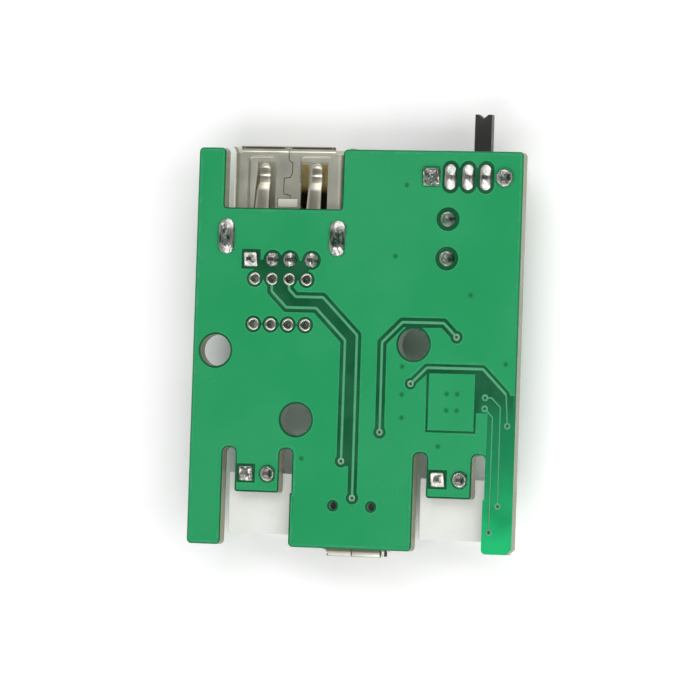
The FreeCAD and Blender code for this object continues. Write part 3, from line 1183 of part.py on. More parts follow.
def write_switch():
    """The slide switch and its solder."""
    base, terminals, bracket, slider, clip = switch_parts()
    write("switch_base", [base])
    write("switch_terminals", terminals)
    write("switch_bracket", [bracket])
    write("switch_slider", [slider])
    write("switch_contact_clip", [clip])
    write("switch_terminal_solder", [slot_solder(x, y, SWITCH_PAD_W, SWITCH_PAD_L,
                                                 rod(x, y, UNDER, CORE_TOP, SWITCH_DRILL_D / 2),
                                                 SOLDER_RISE, terminals)
                                     for x, y in switch_terminals_at()])
    leg_solder = []
    for i, (x, y) in enumerate(switch_legs_at()):
        cone = solder_cone(x, y, SWITCH_END_PAD / 2, SWITCH_LEG_DRILL_D / 2, SOLDER_RISE, SOLDER_NECK)
        if i == 0:
            cone = fuse([cone, cut(square_pad(x, y, SWITCH_END_PAD / 2),
                                   [rod(x, y, UNDER, CORE_TOP, SWITCH_LEG_DRILL_D / 2)])])
        leg_solder.append(soldered(cone, [bracket]))
    write("switch_leg_solder", leg_solder)


def write_power_parts():
    """The power inductor, the diode and the can capacitor."""
    core, winding, pins = power_inductor()
    write("inductor_core", [core])
    write("inductor_winding", [winding])
    write("inductor_pins", pins)
    write("inductor_solder", [soldered(solder_cone(x, y, COIL_PAD_D / 2, PIN_DRILL_D / 2, SOLDER_RISE * 0.75,
                                                   COIL_PIN_D / 2 + 0.1), pins) for x, y in coil_pins_at()])
    diode, diode_terminals = rectifier_diode()
    write("rectifier_diode", [diode])
    write("rectifier_diode_terminals", diode_terminals)
    base, can, leads = output_capacitor()
    write("output_capacitor_base", [base])
    write("output_capacitor_can", [can])
    write("output_capacitor_leads", leads)


def write_small_parts():
    """The chips, chip capacitors, chip resistors and indicator lights."""
    for name, chip, at in (("charge_controller", CHIP_8, CHARGER_AT), ("boost_converter", CHIP_8, BOOST_AT),
                           ("power_management_chip", CHIP_16, CONTROLLER_AT),
                           ("battery_protection_switch", CHIP_8, PROTECTION_AT),
                           ("battery_protection_chip", CHIP_6, SENSOR_AT)):
        body, leads = placed_chip(chip, at)
        write(name, [body])
        write(name + "_leads", leads)
    for name, size, places in (("chip_capacitor", CAPACITOR_SIZE, CAPACITORS_AT),
                               ("chip_resistor", RESISTOR_SIZE, RESISTORS_AT)):
        bodies, ends = end_capped(size, places)
        write(name + "s", bodies)
        write(name + "_ends", ends)
    bases, ends, lenses = status_leds()
    write("status_light_bases", bases)
    write("status_light_ends", ends)
    write("status_light_lenses", lenses)


os.makedirs("parts", exist_ok=True)
write_board()
write_sockets()
write_headers()
write_switch()
write_power_parts()
write_small_parts()
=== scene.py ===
"""Looks of the lithium battery charger module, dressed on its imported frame."""

import json
import logging
import math
from dataclasses import dataclass, field, replace
from enum import Enum
from typing import Callable, Sequence

import bmesh
import bpy
from mathutils import Matrix, Vector, noise

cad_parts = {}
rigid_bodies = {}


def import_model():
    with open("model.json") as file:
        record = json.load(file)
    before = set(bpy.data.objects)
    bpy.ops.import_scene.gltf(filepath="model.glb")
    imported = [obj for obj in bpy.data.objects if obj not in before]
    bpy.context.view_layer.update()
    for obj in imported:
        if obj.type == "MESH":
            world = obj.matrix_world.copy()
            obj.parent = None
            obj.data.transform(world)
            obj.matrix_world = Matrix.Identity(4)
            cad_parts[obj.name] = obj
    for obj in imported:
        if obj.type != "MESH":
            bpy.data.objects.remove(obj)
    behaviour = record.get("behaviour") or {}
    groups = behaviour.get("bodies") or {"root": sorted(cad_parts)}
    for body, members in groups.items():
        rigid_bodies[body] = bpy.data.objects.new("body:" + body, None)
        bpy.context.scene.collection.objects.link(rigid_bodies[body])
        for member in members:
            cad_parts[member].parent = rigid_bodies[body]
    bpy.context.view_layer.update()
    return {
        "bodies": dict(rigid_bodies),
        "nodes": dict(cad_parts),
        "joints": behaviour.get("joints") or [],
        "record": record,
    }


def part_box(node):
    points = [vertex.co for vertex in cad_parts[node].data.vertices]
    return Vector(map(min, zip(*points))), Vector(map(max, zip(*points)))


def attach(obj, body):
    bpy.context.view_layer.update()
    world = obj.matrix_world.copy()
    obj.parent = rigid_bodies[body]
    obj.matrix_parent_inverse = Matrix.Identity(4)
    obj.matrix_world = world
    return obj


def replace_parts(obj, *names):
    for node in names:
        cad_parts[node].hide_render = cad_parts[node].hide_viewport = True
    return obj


Point = tuple[float, float]
Colour = tuple[float, float, float, float]
Value = float | tuple[float, ...]
Socket = bpy.types.NodeSocket
Sockets = bpy.types.bpy_prop_collection

LOG = logging.getLogger("charger_module")
MM = 0.001
MODULE = "module"
WHITE: Colour = (1.0, 1.0, 1.0, 1.0)
# Socket kinds by how many parts their values have.
SOCKET_KINDS = {1: "NodeSocketFloat", 3: "NodeSocketVector", 4: "NodeSocketColor"}
# Upward part of a normal from which a face counts as level, in materials and in meshes.
LEVEL_FACE = 0.6
TOP_FACE = 0.9
# Corners of a CAD mesh that are nearer than this, in metres, are one corner.
MERGE = 1e-7


# Small helpers


def clamped(value: float) -> float:
    """The value, held between 0 and 1."""
    return min(1.0, max(0.0, value))


def grey(level: float) -> Colour:
    """A grey of one level."""
    return (level, level, level, 1.0)


@dataclass(frozen=True)
class Tone:
    """A colour as it is seen, in steps of 0 to 255."""

    red: float
    green: float
    blue: float

    def linear(self) -> Colour:
        """The same colour as the shader wants it, by the standard curve of screens."""
        steps = [c / 255 for c in (self.red, self.green, self.blue)]
        return (*(s / 12.92 if s <= 0.04045 else ((s + 0.055) / 1.055) ** 2.4 for s in steps), 1.0)


class Nodes:
    """Adds the nodes of one tree and feeds their inputs."""

    def __init__(self, tree: bpy.types.NodeTree) -> None:
        """Keeps the tree that is built."""
        self.tree = tree

    @classmethod
    def emptied(cls, owner: bpy.types.Material | bpy.types.World) -> "Nodes":
        """Empties the node tree of a material or a world.

        Args:
            owner: The material or world.

        Returns:
            The helper of its tree.
        """
        owner.use_nodes = True
        owner.node_tree.nodes.clear()
        return cls(owner.node_tree)

    def add(self, kind: str, feeds: dict[str | int, object] | None = None,
            **settings: object) -> bpy.types.Node:
        """Adds one node.

        Args:
            kind: Blender's name of the node type.
            feeds: Plain values or sockets for its inputs, by name or number.
            settings: Properties of the node.

        Returns:
            The new node.
        """
        node = self.tree.nodes.new(kind)
        for key, value in settings.items():
            setattr(node, key, value)
        for key, value in (feeds or {}).items():
            self.put(node.inputs[key], value)
        return node

    def put(self, target: Socket, value: object) -> None:
        """Feeds an input.

        Args:
            target: The input.
            value: Another node's output, or a plain value.
        """
        if isinstance(value, Socket):
            self.tree.links.new(value, target)
        else:
            target.default_value = value

    def math(self, operation: str, *values: object) -> Socket:
        """The result of a Math node on plain values or sockets."""
        return self.add("ShaderNodeMath", dict(enumerate(values)), operation=operation).outputs[0]

    def blend(self, factor: object, first: object, second: object) -> Socket:
        """The first colour with the factor's share of the second, by the mix node's colour sockets."""
        return self.add("ShaderNodeMix", {0: factor, 6: first, 7: second}, data_type="RGBA").outputs[2]

    def ramp(self, value: object, low: float, high: float) -> Socket:
        """How far the value is from low to high, smoothed and held between 0 and 1."""
        feeds = {"Value": value, "From Min": low, "From Max": high}
        return self.add("ShaderNodeMapRange", feeds, interpolation_type="SMOOTHSTEP").outputs["Result"]

    def fade(self, value: object, span: Point) -> Socket:
        """How far a place is along a span of millimetres."""
        return self.ramp(value, span[0] * MM, span[1] * MM)

    def noise(self, vector: object, scale: object, detail: float) -> Socket:
        """A noise with scale features to a metre and detail finer layers."""
        feeds = {"Vector": vector, "Scale": scale, "Detail": detail}
        return self.add("ShaderNodeTexNoise", feeds).outputs[0]

    def own_place(self) -> Socket:
        """The object's own coordinates."""
        return self.add("ShaderNodeTexCoord").outputs["Object"]

    def parts(self, vector: Socket) -> Sockets:
        """The X, Y and Z of a vector."""
        return self.add("ShaderNodeSeparateXYZ", {0: vector}).outputs

    def upward(self) -> Socket:
        """The upward part of a face's normal."""
        return self.parts(self.add("ShaderNodeNewGeometry").outputs["Normal"])["Z"]

    def kept(self, attribute: str) -> Socket:
        """The value that the piece's own mesh keeps under a name."""
        return self.add("ShaderNodeAttribute", attribute_name=attribute).outputs["Fac"]


def add_inputs(tree: bpy.types.NodeTree, inputs: dict[str, Value]) -> dict[str, str]:
    """Gives a tree its named inputs.

    Args:
        tree: The node tree.
        inputs: Start value of each input, by name.

    Returns:
        Identifier of each input, by name.
    """
    identifiers = {}
    for name, value in inputs.items():
        kind = SOCKET_KINDS[len(value) if isinstance(value, tuple) else 1]
        socket = tree.interface.new_socket(name=name, in_out="INPUT", socket_type=kind)
        socket.default_value = value
        identifiers[name] = socket.identifier
    return identifiers


# Shader groups that several finishes share


class Effect(Enum):
    """The shared surface effects."""

    MOTTLE = "mottle"
    GRAIN = "grain"
    SMUDGE = "smudge"
    BRUSHED = "brushed"
    FIBRE = "fibre_layers"


class EffectGroups:
    """Builds each shared effect once and places it in materials."""

    def __init__(self) -> None:
        """Starts with no group built."""
        self._built: dict[Effect, bpy.types.NodeTree] = {}

    def _blank(self, effect: Effect, inputs: dict[str, Value],
               outputs: dict[str, int]) -> tuple[Nodes, Sockets, Sockets]:
        """Makes an empty group with its sockets.

        Args:
            effect: Which effect it is.
            inputs: Start value of each input, by name.
            outputs: How many parts each output has, by name.

        Returns:
            The node helper, the sockets that bring the inputs and those that take the outputs.
        """
        tree = bpy.data.node_groups.new(effect.value, "ShaderNodeTree")
        add_inputs(tree, inputs)
        for name, parts in outputs.items():
            tree.interface.new_socket(name=name, in_out="OUTPUT", socket_type=SOCKET_KINDS[parts])
        self._built[effect] = tree
        nodes = Nodes(tree)
        return nodes, nodes.add("NodeGroupInput").outputs, nodes.add("NodeGroupOutput").inputs

    def _mottle(self) -> None:
        """Two tones that drift into each other."""
        nodes, start, end = self._blank(
            Effect.MOTTLE, {"First": WHITE, "Second": WHITE, "Scale": 300.0}, {"Colour": 4})
        broad = nodes.noise(nodes.own_place(), start["Scale"], detail=3.0)
        share = nodes.ramp(broad, low=0.35, high=0.65)
        nodes.put(end["Colour"], nodes.blend(share, start["First"], start["Second"]))

    def _grain(self) -> None:
        """Fine relief of a moulded or printed face, with a broader swell under it."""
        swell_scale, swell_height = 0.18, 1.5
        nodes, start, end = self._blank(Effect.GRAIN, {"Scale": 3000.0}, {"Height": 1})
        where = nodes.own_place()
        fine = nodes.noise(where, start["Scale"], detail=4.0)
        swell = nodes.noise(where, nodes.math("MULTIPLY", start["Scale"], swell_scale), detail=1.0)
        nodes.put(end["Height"], nodes.math("MULTIPLY_ADD", swell, swell_height, fine))

    def _smudge(self) -> None:
        """Patches that are a little duller or shinier."""
        nodes, start, end = self._blank(
            Effect.SMUDGE, {"Scale": 200.0, "Shiny": 0.2, "Dull": 0.4}, {"Roughness": 1})
        patch = nodes.ramp(nodes.noise(nodes.own_place(), start["Scale"], detail=5.0), low=0.3, high=0.7)
        span = nodes.math("SUBTRACT", start["Dull"], start["Shiny"])
        nodes.put(end["Roughness"], nodes.math("MULTIPLY_ADD", patch, span, start["Shiny"]))

    def _brushed(self) -> None:
        """Fine streaks along one direction, left by rolling the sheet."""
        nodes, start, end = self._blank(
            Effect.BRUSHED, {"Stretch": (4000.0, 200.0, 4000.0)}, {"Mask": 1, "Height": 1})
        feeds = {0: nodes.own_place(), 1: start["Stretch"]}
        stretched = nodes.add("ShaderNodeVectorMath", feeds, operation="MULTIPLY").outputs[0]
        streaks = nodes.noise(stretched, scale=1.0, detail=3.0)
        nodes.put(end["Mask"], nodes.ramp(streaks, low=0.35, high=0.68))
        nodes.put(end["Height"], streaks)

    def _fibre(self) -> None:
        """Layers of glass cloth on the cut edge of the laminate."""
        contrast = 0.3
        nodes, start, end = self._blank(Effect.FIBRE, {"Layers": 7000.0}, {"Mask": 1})
        where = nodes.own_place()
        ripple = nodes.noise(where, scale=1800.0, detail=2.0)
        level = nodes.math("MULTIPLY_ADD", nodes.parts(where)["Z"], start["Layers"], ripple)
        wave = nodes.math("SINE", nodes.math("MULTIPLY", level, math.pi))
        flecks = nodes.noise(where, scale=9000.0, detail=1.0)
        mask = nodes.math("MULTIPLY_ADD", wave, contrast, flecks)
        nodes.put(end["Mask"], nodes.ramp(mask, low=0.25, high=0.8))

    def place(self, nodes: Nodes, effect: Effect, **values: object) -> Sockets:
        """Places an effect in a material.

        Args:
            nodes: The material's node helper.
            effect: Which effect.
            values: Values or sockets for its named inputs.

        Returns:
            The group's outputs.
        """
        makers = {Effect.MOTTLE: self._mottle, Effect.GRAIN: self._grain, Effect.SMUDGE: self._smudge,
                  Effect.BRUSHED: self._brushed, Effect.FIBRE: self._fibre}
        if effect not in self._built:
            makers[effect]()
        return nodes.add("ShaderNodeGroup", values, node_tree=self._built[effect]).outputs


EFFECTS = EffectGroups()


# Finishes


@dataclass(frozen=True)
class Finish:
    """A surface finish.

    Attributes:
        name: Its name.
        tone: Its main tone.
        second: The tone that it drifts to.
        gloss: Roughness of its shiny and of its dull patches.
        slot: The record's material slot, where that isn't its name; not used.
        metallic: Share of metal.
        specular: Level of its reflections.
        drift: How many patches of tone and gloss there are to a metre.
        grain: How many grains there are to a metre.
        relief: Depth of its grain in millimetres.
    """

    name: str
    tone: Tone
    second: Tone
    gloss: Point
    slot: str = ""
    metallic: float = 0.0
    specular: float = 0.5
    drift: float = 300.0
    grain: float = 3000.0
    relief: float = 0.004

    def colour(self, nodes: Nodes) -> Socket:
        """The colour, where it drifts between two tones."""
        tones = {"First": self.tone.linear(), "Second": self.second.linear()}
        return EFFECTS.place(nodes, Effect.MOTTLE, Scale=self.drift, **tones)["Colour"]

    def height(self, nodes: Nodes) -> Socket:
        """The relief."""
        return EFFECTS.place(nodes, Effect.GRAIN, Scale=self.grain)["Height"]

    def roughness(self, nodes: Nodes) -> Socket:
        """The roughness, where it drifts between shiny and dull."""
        shiny, dull = self.gloss
        return EFFECTS.place(nodes, Effect.SMUDGE, Scale=self.drift, Shiny=shiny, Dull=dull)["Roughness"]

    def extras(self, nodes: Nodes, shader: bpy.types.Node) -> None:
        """Sets what only this kind of finish has."""

    def build(self) -> bpy.types.Material:
        """Makes the material.

        Returns:
            The node-based material.
        """
        material = bpy.data.materials.new(self.name)
        nodes = Nodes.emptied(material)
        bump = nodes.add("ShaderNodeBump", {
            "Strength": 1.0, "Distance": self.relief * MM, "Height": self.height(nodes)})
        shader = nodes.add("ShaderNodeBsdfPrincipled", {
            "Base Color": self.colour(nodes), "Roughness": self.roughness(nodes), "Metallic": self.metallic,
            "Specular IOR Level": self.specular, "Normal": bump.outputs[0]})
        nodes.add("ShaderNodeOutputMaterial", {0: shader.outputs[0]})
        self.extras(nodes, shader)
        return material


@dataclass(frozen=True)
class SheetMetal(Finish):
    """Rolled sheet with fine streaks, so many to a metre across and along it."""

    metallic: float = 1.0
    stretch: tuple[float, float, float] = (5000.0, 300.0, 5000.0)

    def colour(self, nodes: Nodes) -> Socket:
        """Streaks of two tones."""
        streaks = EFFECTS.place(nodes, Effect.BRUSHED, Stretch=self.stretch)["Mask"]
        return nodes.blend(streaks, self.tone.linear(), self.second.linear())

    def height(self, nodes: Nodes) -> Socket:
        """Relief of the streaks."""
        return EFFECTS.place(nodes, Effect.BRUSHED, Stretch=self.stretch)["Height"]


@dataclass(frozen=True)
class BareBoard(Finish):
    """Laminate: green mask on both faces, cut glass cloth on every wall.

    Attributes:
        wall: Tone of the glass cloth.
        wall_dark: Tone between its layers.
        bore_shade: Darker tone of the glass cloth in the plain holes, painted shade.
        open_zone: Tone of the mask where the lower right has no copper.
        finger: Tone of its brighter blotches further down the right finger, painted light through the bare
            laminate.
        margin: Tone of the mask outside the pour.
        margin_from: Half width and half length of the pour.
        middle_y: Middle of the pour along the board.
        zone_right: Where the open zone begins across the board.
        zone_low: Where it begins along the board.
        finger_low: Where its blotches begin and are full along the board.
        blotch: How many blotches there are to a metre.
        hole_reach: How far from a hole's middle its wall reaches.
        holes: Middles of the plain holes that show their wall in painted shade.
    """

    wall: Tone = Tone(160, 164, 142)
    wall_dark: Tone = Tone(132, 134, 108)
    bore_shade: Tone = Tone(132, 142, 130)
    open_zone: Tone = Tone(22, 128, 80)
    finger: Tone = Tone(26, 188, 115)
    margin: Tone = Tone(40, 126, 82)
    margin_from: Point = (18.3, 21.6)
    middle_y: float = -1.7
    zone_right: Point = (14.2, 14.8)
    zone_low: Point = (-5.0, -10.5)
    finger_low: Point = (-10.5, -23.5)
    blotch: float = 190.0
    hole_reach: float = 1.85
    holes: tuple[Point, ...] = ((6.8, -1.0), (-6.4, -9.6))

    def colour(self, nodes: Nodes) -> Socket:
        """Mask on the level faces and glass cloth on the walls.

        Args:
            nodes: The material's node helper.

        Returns:
            The colour.
        """
        where = nodes.parts(nodes.own_place())
        flat = nodes.math("GREATER_THAN", nodes.math("ABSOLUTE", nodes.upward()), LEVEL_FACE)
        wall = self._walls(nodes, where["X"], where["Y"])
        return nodes.blend(flat, wall, self._faces(nodes, where["X"], where["Y"]))

    def _faces(self, nodes: Nodes, x: Socket, y: Socket) -> Socket:
        """Tone of the mask by its place on the board.

        Args:
            nodes: The material's node helper.
            x: Place across the board.
            y: Place along the board.

        Returns:
            The colour of the faces.
        """
        right = nodes.fade(x, self.zone_right)
        zone = nodes.math("MULTIPLY", right, nodes.fade(y, self.zone_low))
        face = nodes.blend(zone, super().colour(nodes), self.open_zone.linear())
        blotch = nodes.ramp(nodes.noise(nodes.own_place(), self.blotch, detail=1.0), low=0.1, high=0.6)
        over_x = nodes.math("GREATER_THAN", nodes.math("ABSOLUTE", x), self.margin_from[0] * MM)
        from_middle = nodes.math("ABSOLUTE", nodes.math("SUBTRACT", y, self.middle_y * MM))
        over_y = nodes.math("GREATER_THAN", from_middle, self.margin_from[1] * MM)
        elsewhere = nodes.math("SUBTRACT", 1.0, zone)
        rim = nodes.math("MULTIPLY", nodes.math("MAXIMUM", over_x, over_y), elsewhere)
        face = nodes.blend(rim, face, self.margin.linear())
        # Brighter blotches down the right finger: painted light through the bare laminate.
        lowest = nodes.math("MULTIPLY", right, nodes.fade(y, self.finger_low))
        return nodes.blend(nodes.math("MULTIPLY", lowest, blotch), face, self.finger.linear())

    def _walls(self, nodes: Nodes, x: Socket, y: Socket) -> Socket:
        """Tone of the cut glass cloth, with painted shade on its walls in the plain holes.

        Args:
            nodes: The material's node helper.
            x: Place across the board.
            y: Place along the board.

        Returns:
            The colour of the walls.
        """
        layers = EFFECTS.place(nodes, Effect.FIBRE)["Mask"]
        wall = nodes.blend(layers, self.wall_dark.linear(), self.wall.linear())
        # Painted shade on the walls of two plain holes.
        for hole in self.holes:
            squares = [nodes.math("POWER", nodes.math("SUBTRACT", place, middle * MM), 2.0)
                       for place, middle in zip((x, y), hole)]
            near = nodes.math("LESS_THAN", nodes.math("ADD", *squares), (self.hole_reach * MM) ** 2)
            wall = nodes.blend(near, wall, self.bore_shade.linear())
        return wall


@dataclass(frozen=True)
class Dimple(Finish):
    """Mask sunk into a covered via: dark in the middle, the face's own tone at its rim."""

    centre: Tone = Tone(26, 114, 70)

    def colour(self, nodes: Nodes) -> Socket:
        """Tone by the piece's own rim value."""
        share = nodes.ramp(nodes.kept("rim"), low=0.25, high=1.0)
        return nodes.blend(share, self.centre.linear(), super().colour(nodes))


@dataclass(frozen=True)
class Ridge(Finish):
    """Mask over a thin edge of copper: light as far as its crest reaches, darker down its sides."""

    side: Tone = Tone(34, 110, 72)
    crest: float = 0.35

    def colour(self, nodes: Nodes) -> Socket:
        """Tone by the piece's own value across the ridge."""
        share = nodes.ramp(nodes.math("ABSOLUTE", nodes.kept("across")), self.crest, high=1.0)
        return nodes.blend(share, super().colour(nodes), self.side.linear())


@dataclass(frozen=True)
class Solder(Finish):
    """Solder under a dark film, partly residue and partly painted shade, which hides the cover's share of
    its metal.
    """

    darkening: Tone = Tone(20, 54, 36)
    cover: float = 0.75

    def colour(self, nodes: Nodes) -> Socket:
        """Solder tone under the piece's own film."""
        return nodes.blend(nodes.kept("film"), super().colour(nodes), self.darkening.linear())

    def extras(self, nodes: Nodes, shader: bpy.types.Node) -> None:
        """Lets the film hide the metal."""
        bare = nodes.math("MULTIPLY_ADD", nodes.kept("film"), -self.cover * self.metallic, self.metallic)
        nodes.put(shader.inputs["Metallic"], bare)


@dataclass(frozen=True)
class SolderedContact(SheetMetal):
    """Contact metal that is tinned out of the board, with dark cut ends, and painted shade deep in its
    shell.

    Attributes:
        tin: Tone of the tin.
        cut_end: Tone of the cut ends.
        level: Height from which it is tinned.
        deep_shade: Tone of the painted shade deep in the shell.
        deep: Where the painted shade ends along the board.
    """

    tin: Tone = Tone(184, 182, 172)
    cut_end: Tone = Tone(92, 91, 86)
    level: float = 7.2
    deep_shade: Tone = Tone(44, 40, 30)
    deep: Point = (15.4, 16.6)

    def colour(self, nodes: Nodes) -> Socket:
        """Contact tone near the mouth, painted shade deeper in, and tin above the level.

        Args:
            nodes: The material's node helper.

        Returns:
            The colour.
        """
        where = nodes.parts(nodes.own_place())
        high = nodes.math("GREATER_THAN", where["Z"], self.level * MM)
        # Painted shade deeper in the shell, away from its mouth.
        mouth = nodes.fade(where["Y"], self.deep)
        metal = nodes.blend(mouth, self.deep_shade.linear(), super().colour(nodes))
        end = nodes.math("GREATER_THAN", nodes.upward(), LEVEL_FACE)
        return nodes.blend(high, metal, nodes.blend(end, self.tin.linear(), self.cut_end.linear()))


@dataclass(frozen=True)
class ClearMoulding(Finish):
    """Clear resin over a lamp."""

    clear: float = 0.55
    bending: float = 1.5

    def extras(self, nodes: Nodes, shader: bpy.types.Node) -> None:
        """Lets light through."""
        shader.inputs["Transmission Weight"].default_value = self.clear
        shader.inputs["IOR"].default_value = self.bending


@dataclass(frozen=True)
class DeepMoulding(Finish):
    """Moulding that lies in the shade of its shell below a span of heights."""

    deep: Tone = Tone(206, 208, 192)
    levels: Point = (5.2, 5.6)

    def colour(self, nodes: Nodes) -> Socket:
        """Tone by height."""
        share = nodes.fade(nodes.parts(nodes.own_place())["Z"], self.levels)
        return nodes.blend(share, self.deep.linear(), super().colour(nodes))


MASK = "mask_over_copper"
GREEN = Tone(38, 153, 94)
GREEN_DRIFT = Tone(44, 157, 99)
SHELL = "shell_steel"
SHELL_STREAKS = (700.0, 480.0, 700.0)
CAN_STREAKS = (5000.0, 5000.0, 300.0)
FINISHES: dict[str, Finish] = {f.name: f for f in (
    Finish(MASK, GREEN, GREEN_DRIFT, (0.2, 0.3), specular=0.3, drift=90.0, grain=1500.0, relief=0.002),
    Ridge("mask_rim", Tone(44, 157, 101), Tone(54, 160, 107), (0.2, 0.3), MASK, specular=0.3, drift=500.0,
          relief=0.002, side=GREEN),
    Ridge("mask_on_track", Tone(88, 170, 126), Tone(78, 164, 118), (0.2, 0.3), MASK, specular=0.4,
          drift=700.0, relief=0.002),
    Finish("mask_shadow", Tone(14, 80, 48), Tone(24, 94, 58), (0.25, 0.4), "laminate", specular=0.3,
           drift=900.0, relief=0.002),
    Finish("mask_under_side", GREEN, GREEN_DRIFT, (0.2, 0.3), MASK, specular=0.3, drift=90.0, relief=0.002),
    BareBoard("bare_board", Tone(12, 84, 50), Tone(22, 94, 58), (0.25, 0.4), "laminate", specular=0.3,
              drift=240.0, relief=0.003),
    Dimple("mask_dimple", GREEN, GREEN_DRIFT, (0.2, 0.3), MASK, specular=0.3, drift=90.0, relief=0.001),
    Finish("bright_tin", Tone(240, 238, 230), Tone(222, 218, 208), (0.14, 0.26), "tin", metallic=1.0,
           drift=2500.0, relief=0.003),
    Finish("via_metal", Tone(138, 180, 148), Tone(108, 158, 124), (0.25, 0.4), "tin", drift=2500.0,
           relief=0.002),
    Finish("via_filling", Tone(60, 96, 72), Tone(40, 66, 50), (0.4, 0.55), MASK, drift=2500.0,
           relief=0.002),
    Finish("via_mask", Tone(92, 172, 128), Tone(76, 160, 114), (0.25, 0.4), MASK, drift=2500.0,
           relief=0.002),
    Solder("solder", Tone(194, 193, 188), Tone(164, 163, 158), (0.2, 0.32), metallic=1.0, drift=1800.0,
           grain=2600.0, relief=0.006),
    Solder("dull_solder", Tone(196, 200, 192), Tone(142, 158, 146), (0.26, 0.4), "solder", metallic=0.9,
           drift=1000.0, grain=2600.0, relief=0.006),
    SheetMetal(SHELL, Tone(218, 217, 202), Tone(209, 208, 193), (0.37, 0.46), drift=260.0, relief=0.0006,
               stretch=SHELL_STREAKS),
    SheetMetal("spring_steel", Tone(216, 211, 194), Tone(207, 202, 185), (0.26, 0.33), SHELL, drift=260.0,
               relief=0.0006, stretch=SHELL_STREAKS),
    SheetMetal("dull_steel", Tone(176, 175, 162), Tone(166, 165, 152), (0.5, 0.6), SHELL, relief=0.0006,
               stretch=SHELL_STREAKS),
    SheetMetal("steel_shadow", Tone(82, 80, 73), Tone(68, 66, 60), (0.6, 0.75), SHELL, metallic=0.0,
               specular=0.15, relief=0.001),
    SolderedContact("contact_brass", Tone(226, 208, 150), Tone(208, 188, 126), (0.26, 0.4), metallic=0.7,
                    relief=0.002),
    SheetMetal("pin_tin", Tone(200, 198, 190), Tone(168, 166, 158), (0.2, 0.36), relief=0.003),
    Finish("white_plastic", Tone(232, 234, 229), Tone(226, 229, 223), (0.36, 0.5), grain=4000.0,
           relief=0.003),
    DeepMoulding("socket_plastic", Tone(218, 220, 208), Tone(212, 214, 202), (0.36, 0.5), "white_plastic",
                 grain=4000.0, relief=0.003),
    Finish("black_plastic", Tone(48, 49, 47), Tone(56, 57, 54), (0.3, 0.48), grain=4000.0),
    Finish("switch_board", Tone(168, 128, 70), Tone(150, 112, 60), (0.5, 0.7), relief=0.006),
    Finish("ferrite", Tone(58, 56, 54), Tone(74, 72, 68), (0.5, 0.72), grain=5000.0, relief=0.012),
    Finish("copper_wire", Tone(196, 112, 62), Tone(172, 88, 46), (0.2, 0.35), metallic=0.85, drift=900.0,
           relief=0.003),
    Finish("chip_resin", Tone(40, 40, 42), Tone(50, 50, 50), (0.5, 0.66), grain=7000.0, relief=0.006),
    SheetMetal("chip_lead", Tone(206, 204, 198), Tone(180, 178, 172), (0.22, 0.36), relief=0.002),
    Finish("capacitor_ceramic", Tone(176, 146, 108), Tone(162, 130, 92), (0.45, 0.6), drift=900.0),
    Finish("resistor_ceramic", Tone(36, 36, 38), Tone(48, 48, 50), (0.35, 0.5), relief=0.003),
    Finish("light_base", Tone(226, 224, 210), Tone(214, 212, 198), (0.4, 0.55)),
    ClearMoulding("light_lens", Tone(236, 238, 214), Tone(226, 230, 200), (0.12, 0.2), relief=0.001),
    SheetMetal("can_aluminium", Tone(206, 206, 208), Tone(188, 188, 190), (0.22, 0.34), relief=0.002,
               stretch=CAN_STREAKS),
)}


class Palette:
    """Makes each finish's material once."""

    def __init__(self) -> None:
        """Starts with no material made."""
        self._made: dict[str, bpy.types.Material] = {}

    def get(self, name: str) -> bpy.types.Material:
        """The material of a finish.

        Args:
            name: The finish's name.

        Returns:
            Its material, made on first use.
        """
        if name not in self._made:
            self._made[name] = FINISHES[name].build()
        return self._made[name]


PALETTE = Palette()


# The board's own coordinates


class BoardFrame:
    """Turns millimetres from the middle of the board's solder face into scene metres."""

    foil: float = 0.05

    def __init__(self) -> None:
        """Reads the board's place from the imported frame."""
        low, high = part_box("circuit_board")
        self.middle = Vector(((low.x + high.x) / 2, (low.y + high.y) / 2, high.z + self.foil * MM))

    def at(self, x: float, y: float, z: float = 0.0) -> Vector:
        """A point of the board in metres, from millimetres to the right, along the board and above it."""
        return self.middle + Vector((x, y, z)) * MM


# Mesh helpers


def piece_from_mesh(name: str, mesh: bpy.types.Mesh, finishes: Sequence[str],
                    smooth: bool = True) -> bpy.types.Object:
    """Makes a piece of the object that rides on the module.

    Args:
        name: The piece's name.
        mesh: Its mesh, in place.
        finishes: The finishes of its material slots.
        smooth: Whether its faces are shaded smooth.

    Returns:
        The new object.
    """
    # Clearing the slots would reset which slot each face wears.
    worn = [polygon.material_index for polygon in mesh.polygons]
    mesh.materials.clear()
    for finish in finishes:
        mesh.materials.append(PALETTE.get(finish))
    mesh.polygons.foreach_set("material_index", worn)
    mesh.polygons.foreach_set("use_smooth", [smooth] * len(mesh.polygons))
    mesh.name = name
    piece = bpy.data.objects.new(name, mesh)
    bpy.context.scene.collection.objects.link(piece)
    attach(piece, MODULE)
    finish = FINISHES[finishes[0]]
    LOG.info("%s: %d faces", name, len(mesh.polygons))
    return piece


def points_mesh(points: Sequence[Vector], edges: Sequence[tuple[int, int]] = ()) -> bpy.types.Mesh:
    """A carrier mesh of loose points or edges.

    Args:
        points: Its points in metres.
        edges: The numbers of the points that each edge joins.

    Returns:
        The mesh.
    """
    mesh = bpy.data.meshes.new("carrier")
    mesh.from_pydata([tuple(p) for p in points], list(edges), [])
    return mesh


def mesh_of(shape: bmesh.types.BMesh, last: bool = True) -> bpy.types.Mesh:
    """Turns a shape into a mesh.

    Args:
        shape: The shape.
        last: Whether it isn't needed any more.

    Returns:
        The mesh.
    """
    mesh = bpy.data.meshes.new("shape")
    shape.to_mesh(mesh)
    if last:
        shape.free()
    return mesh


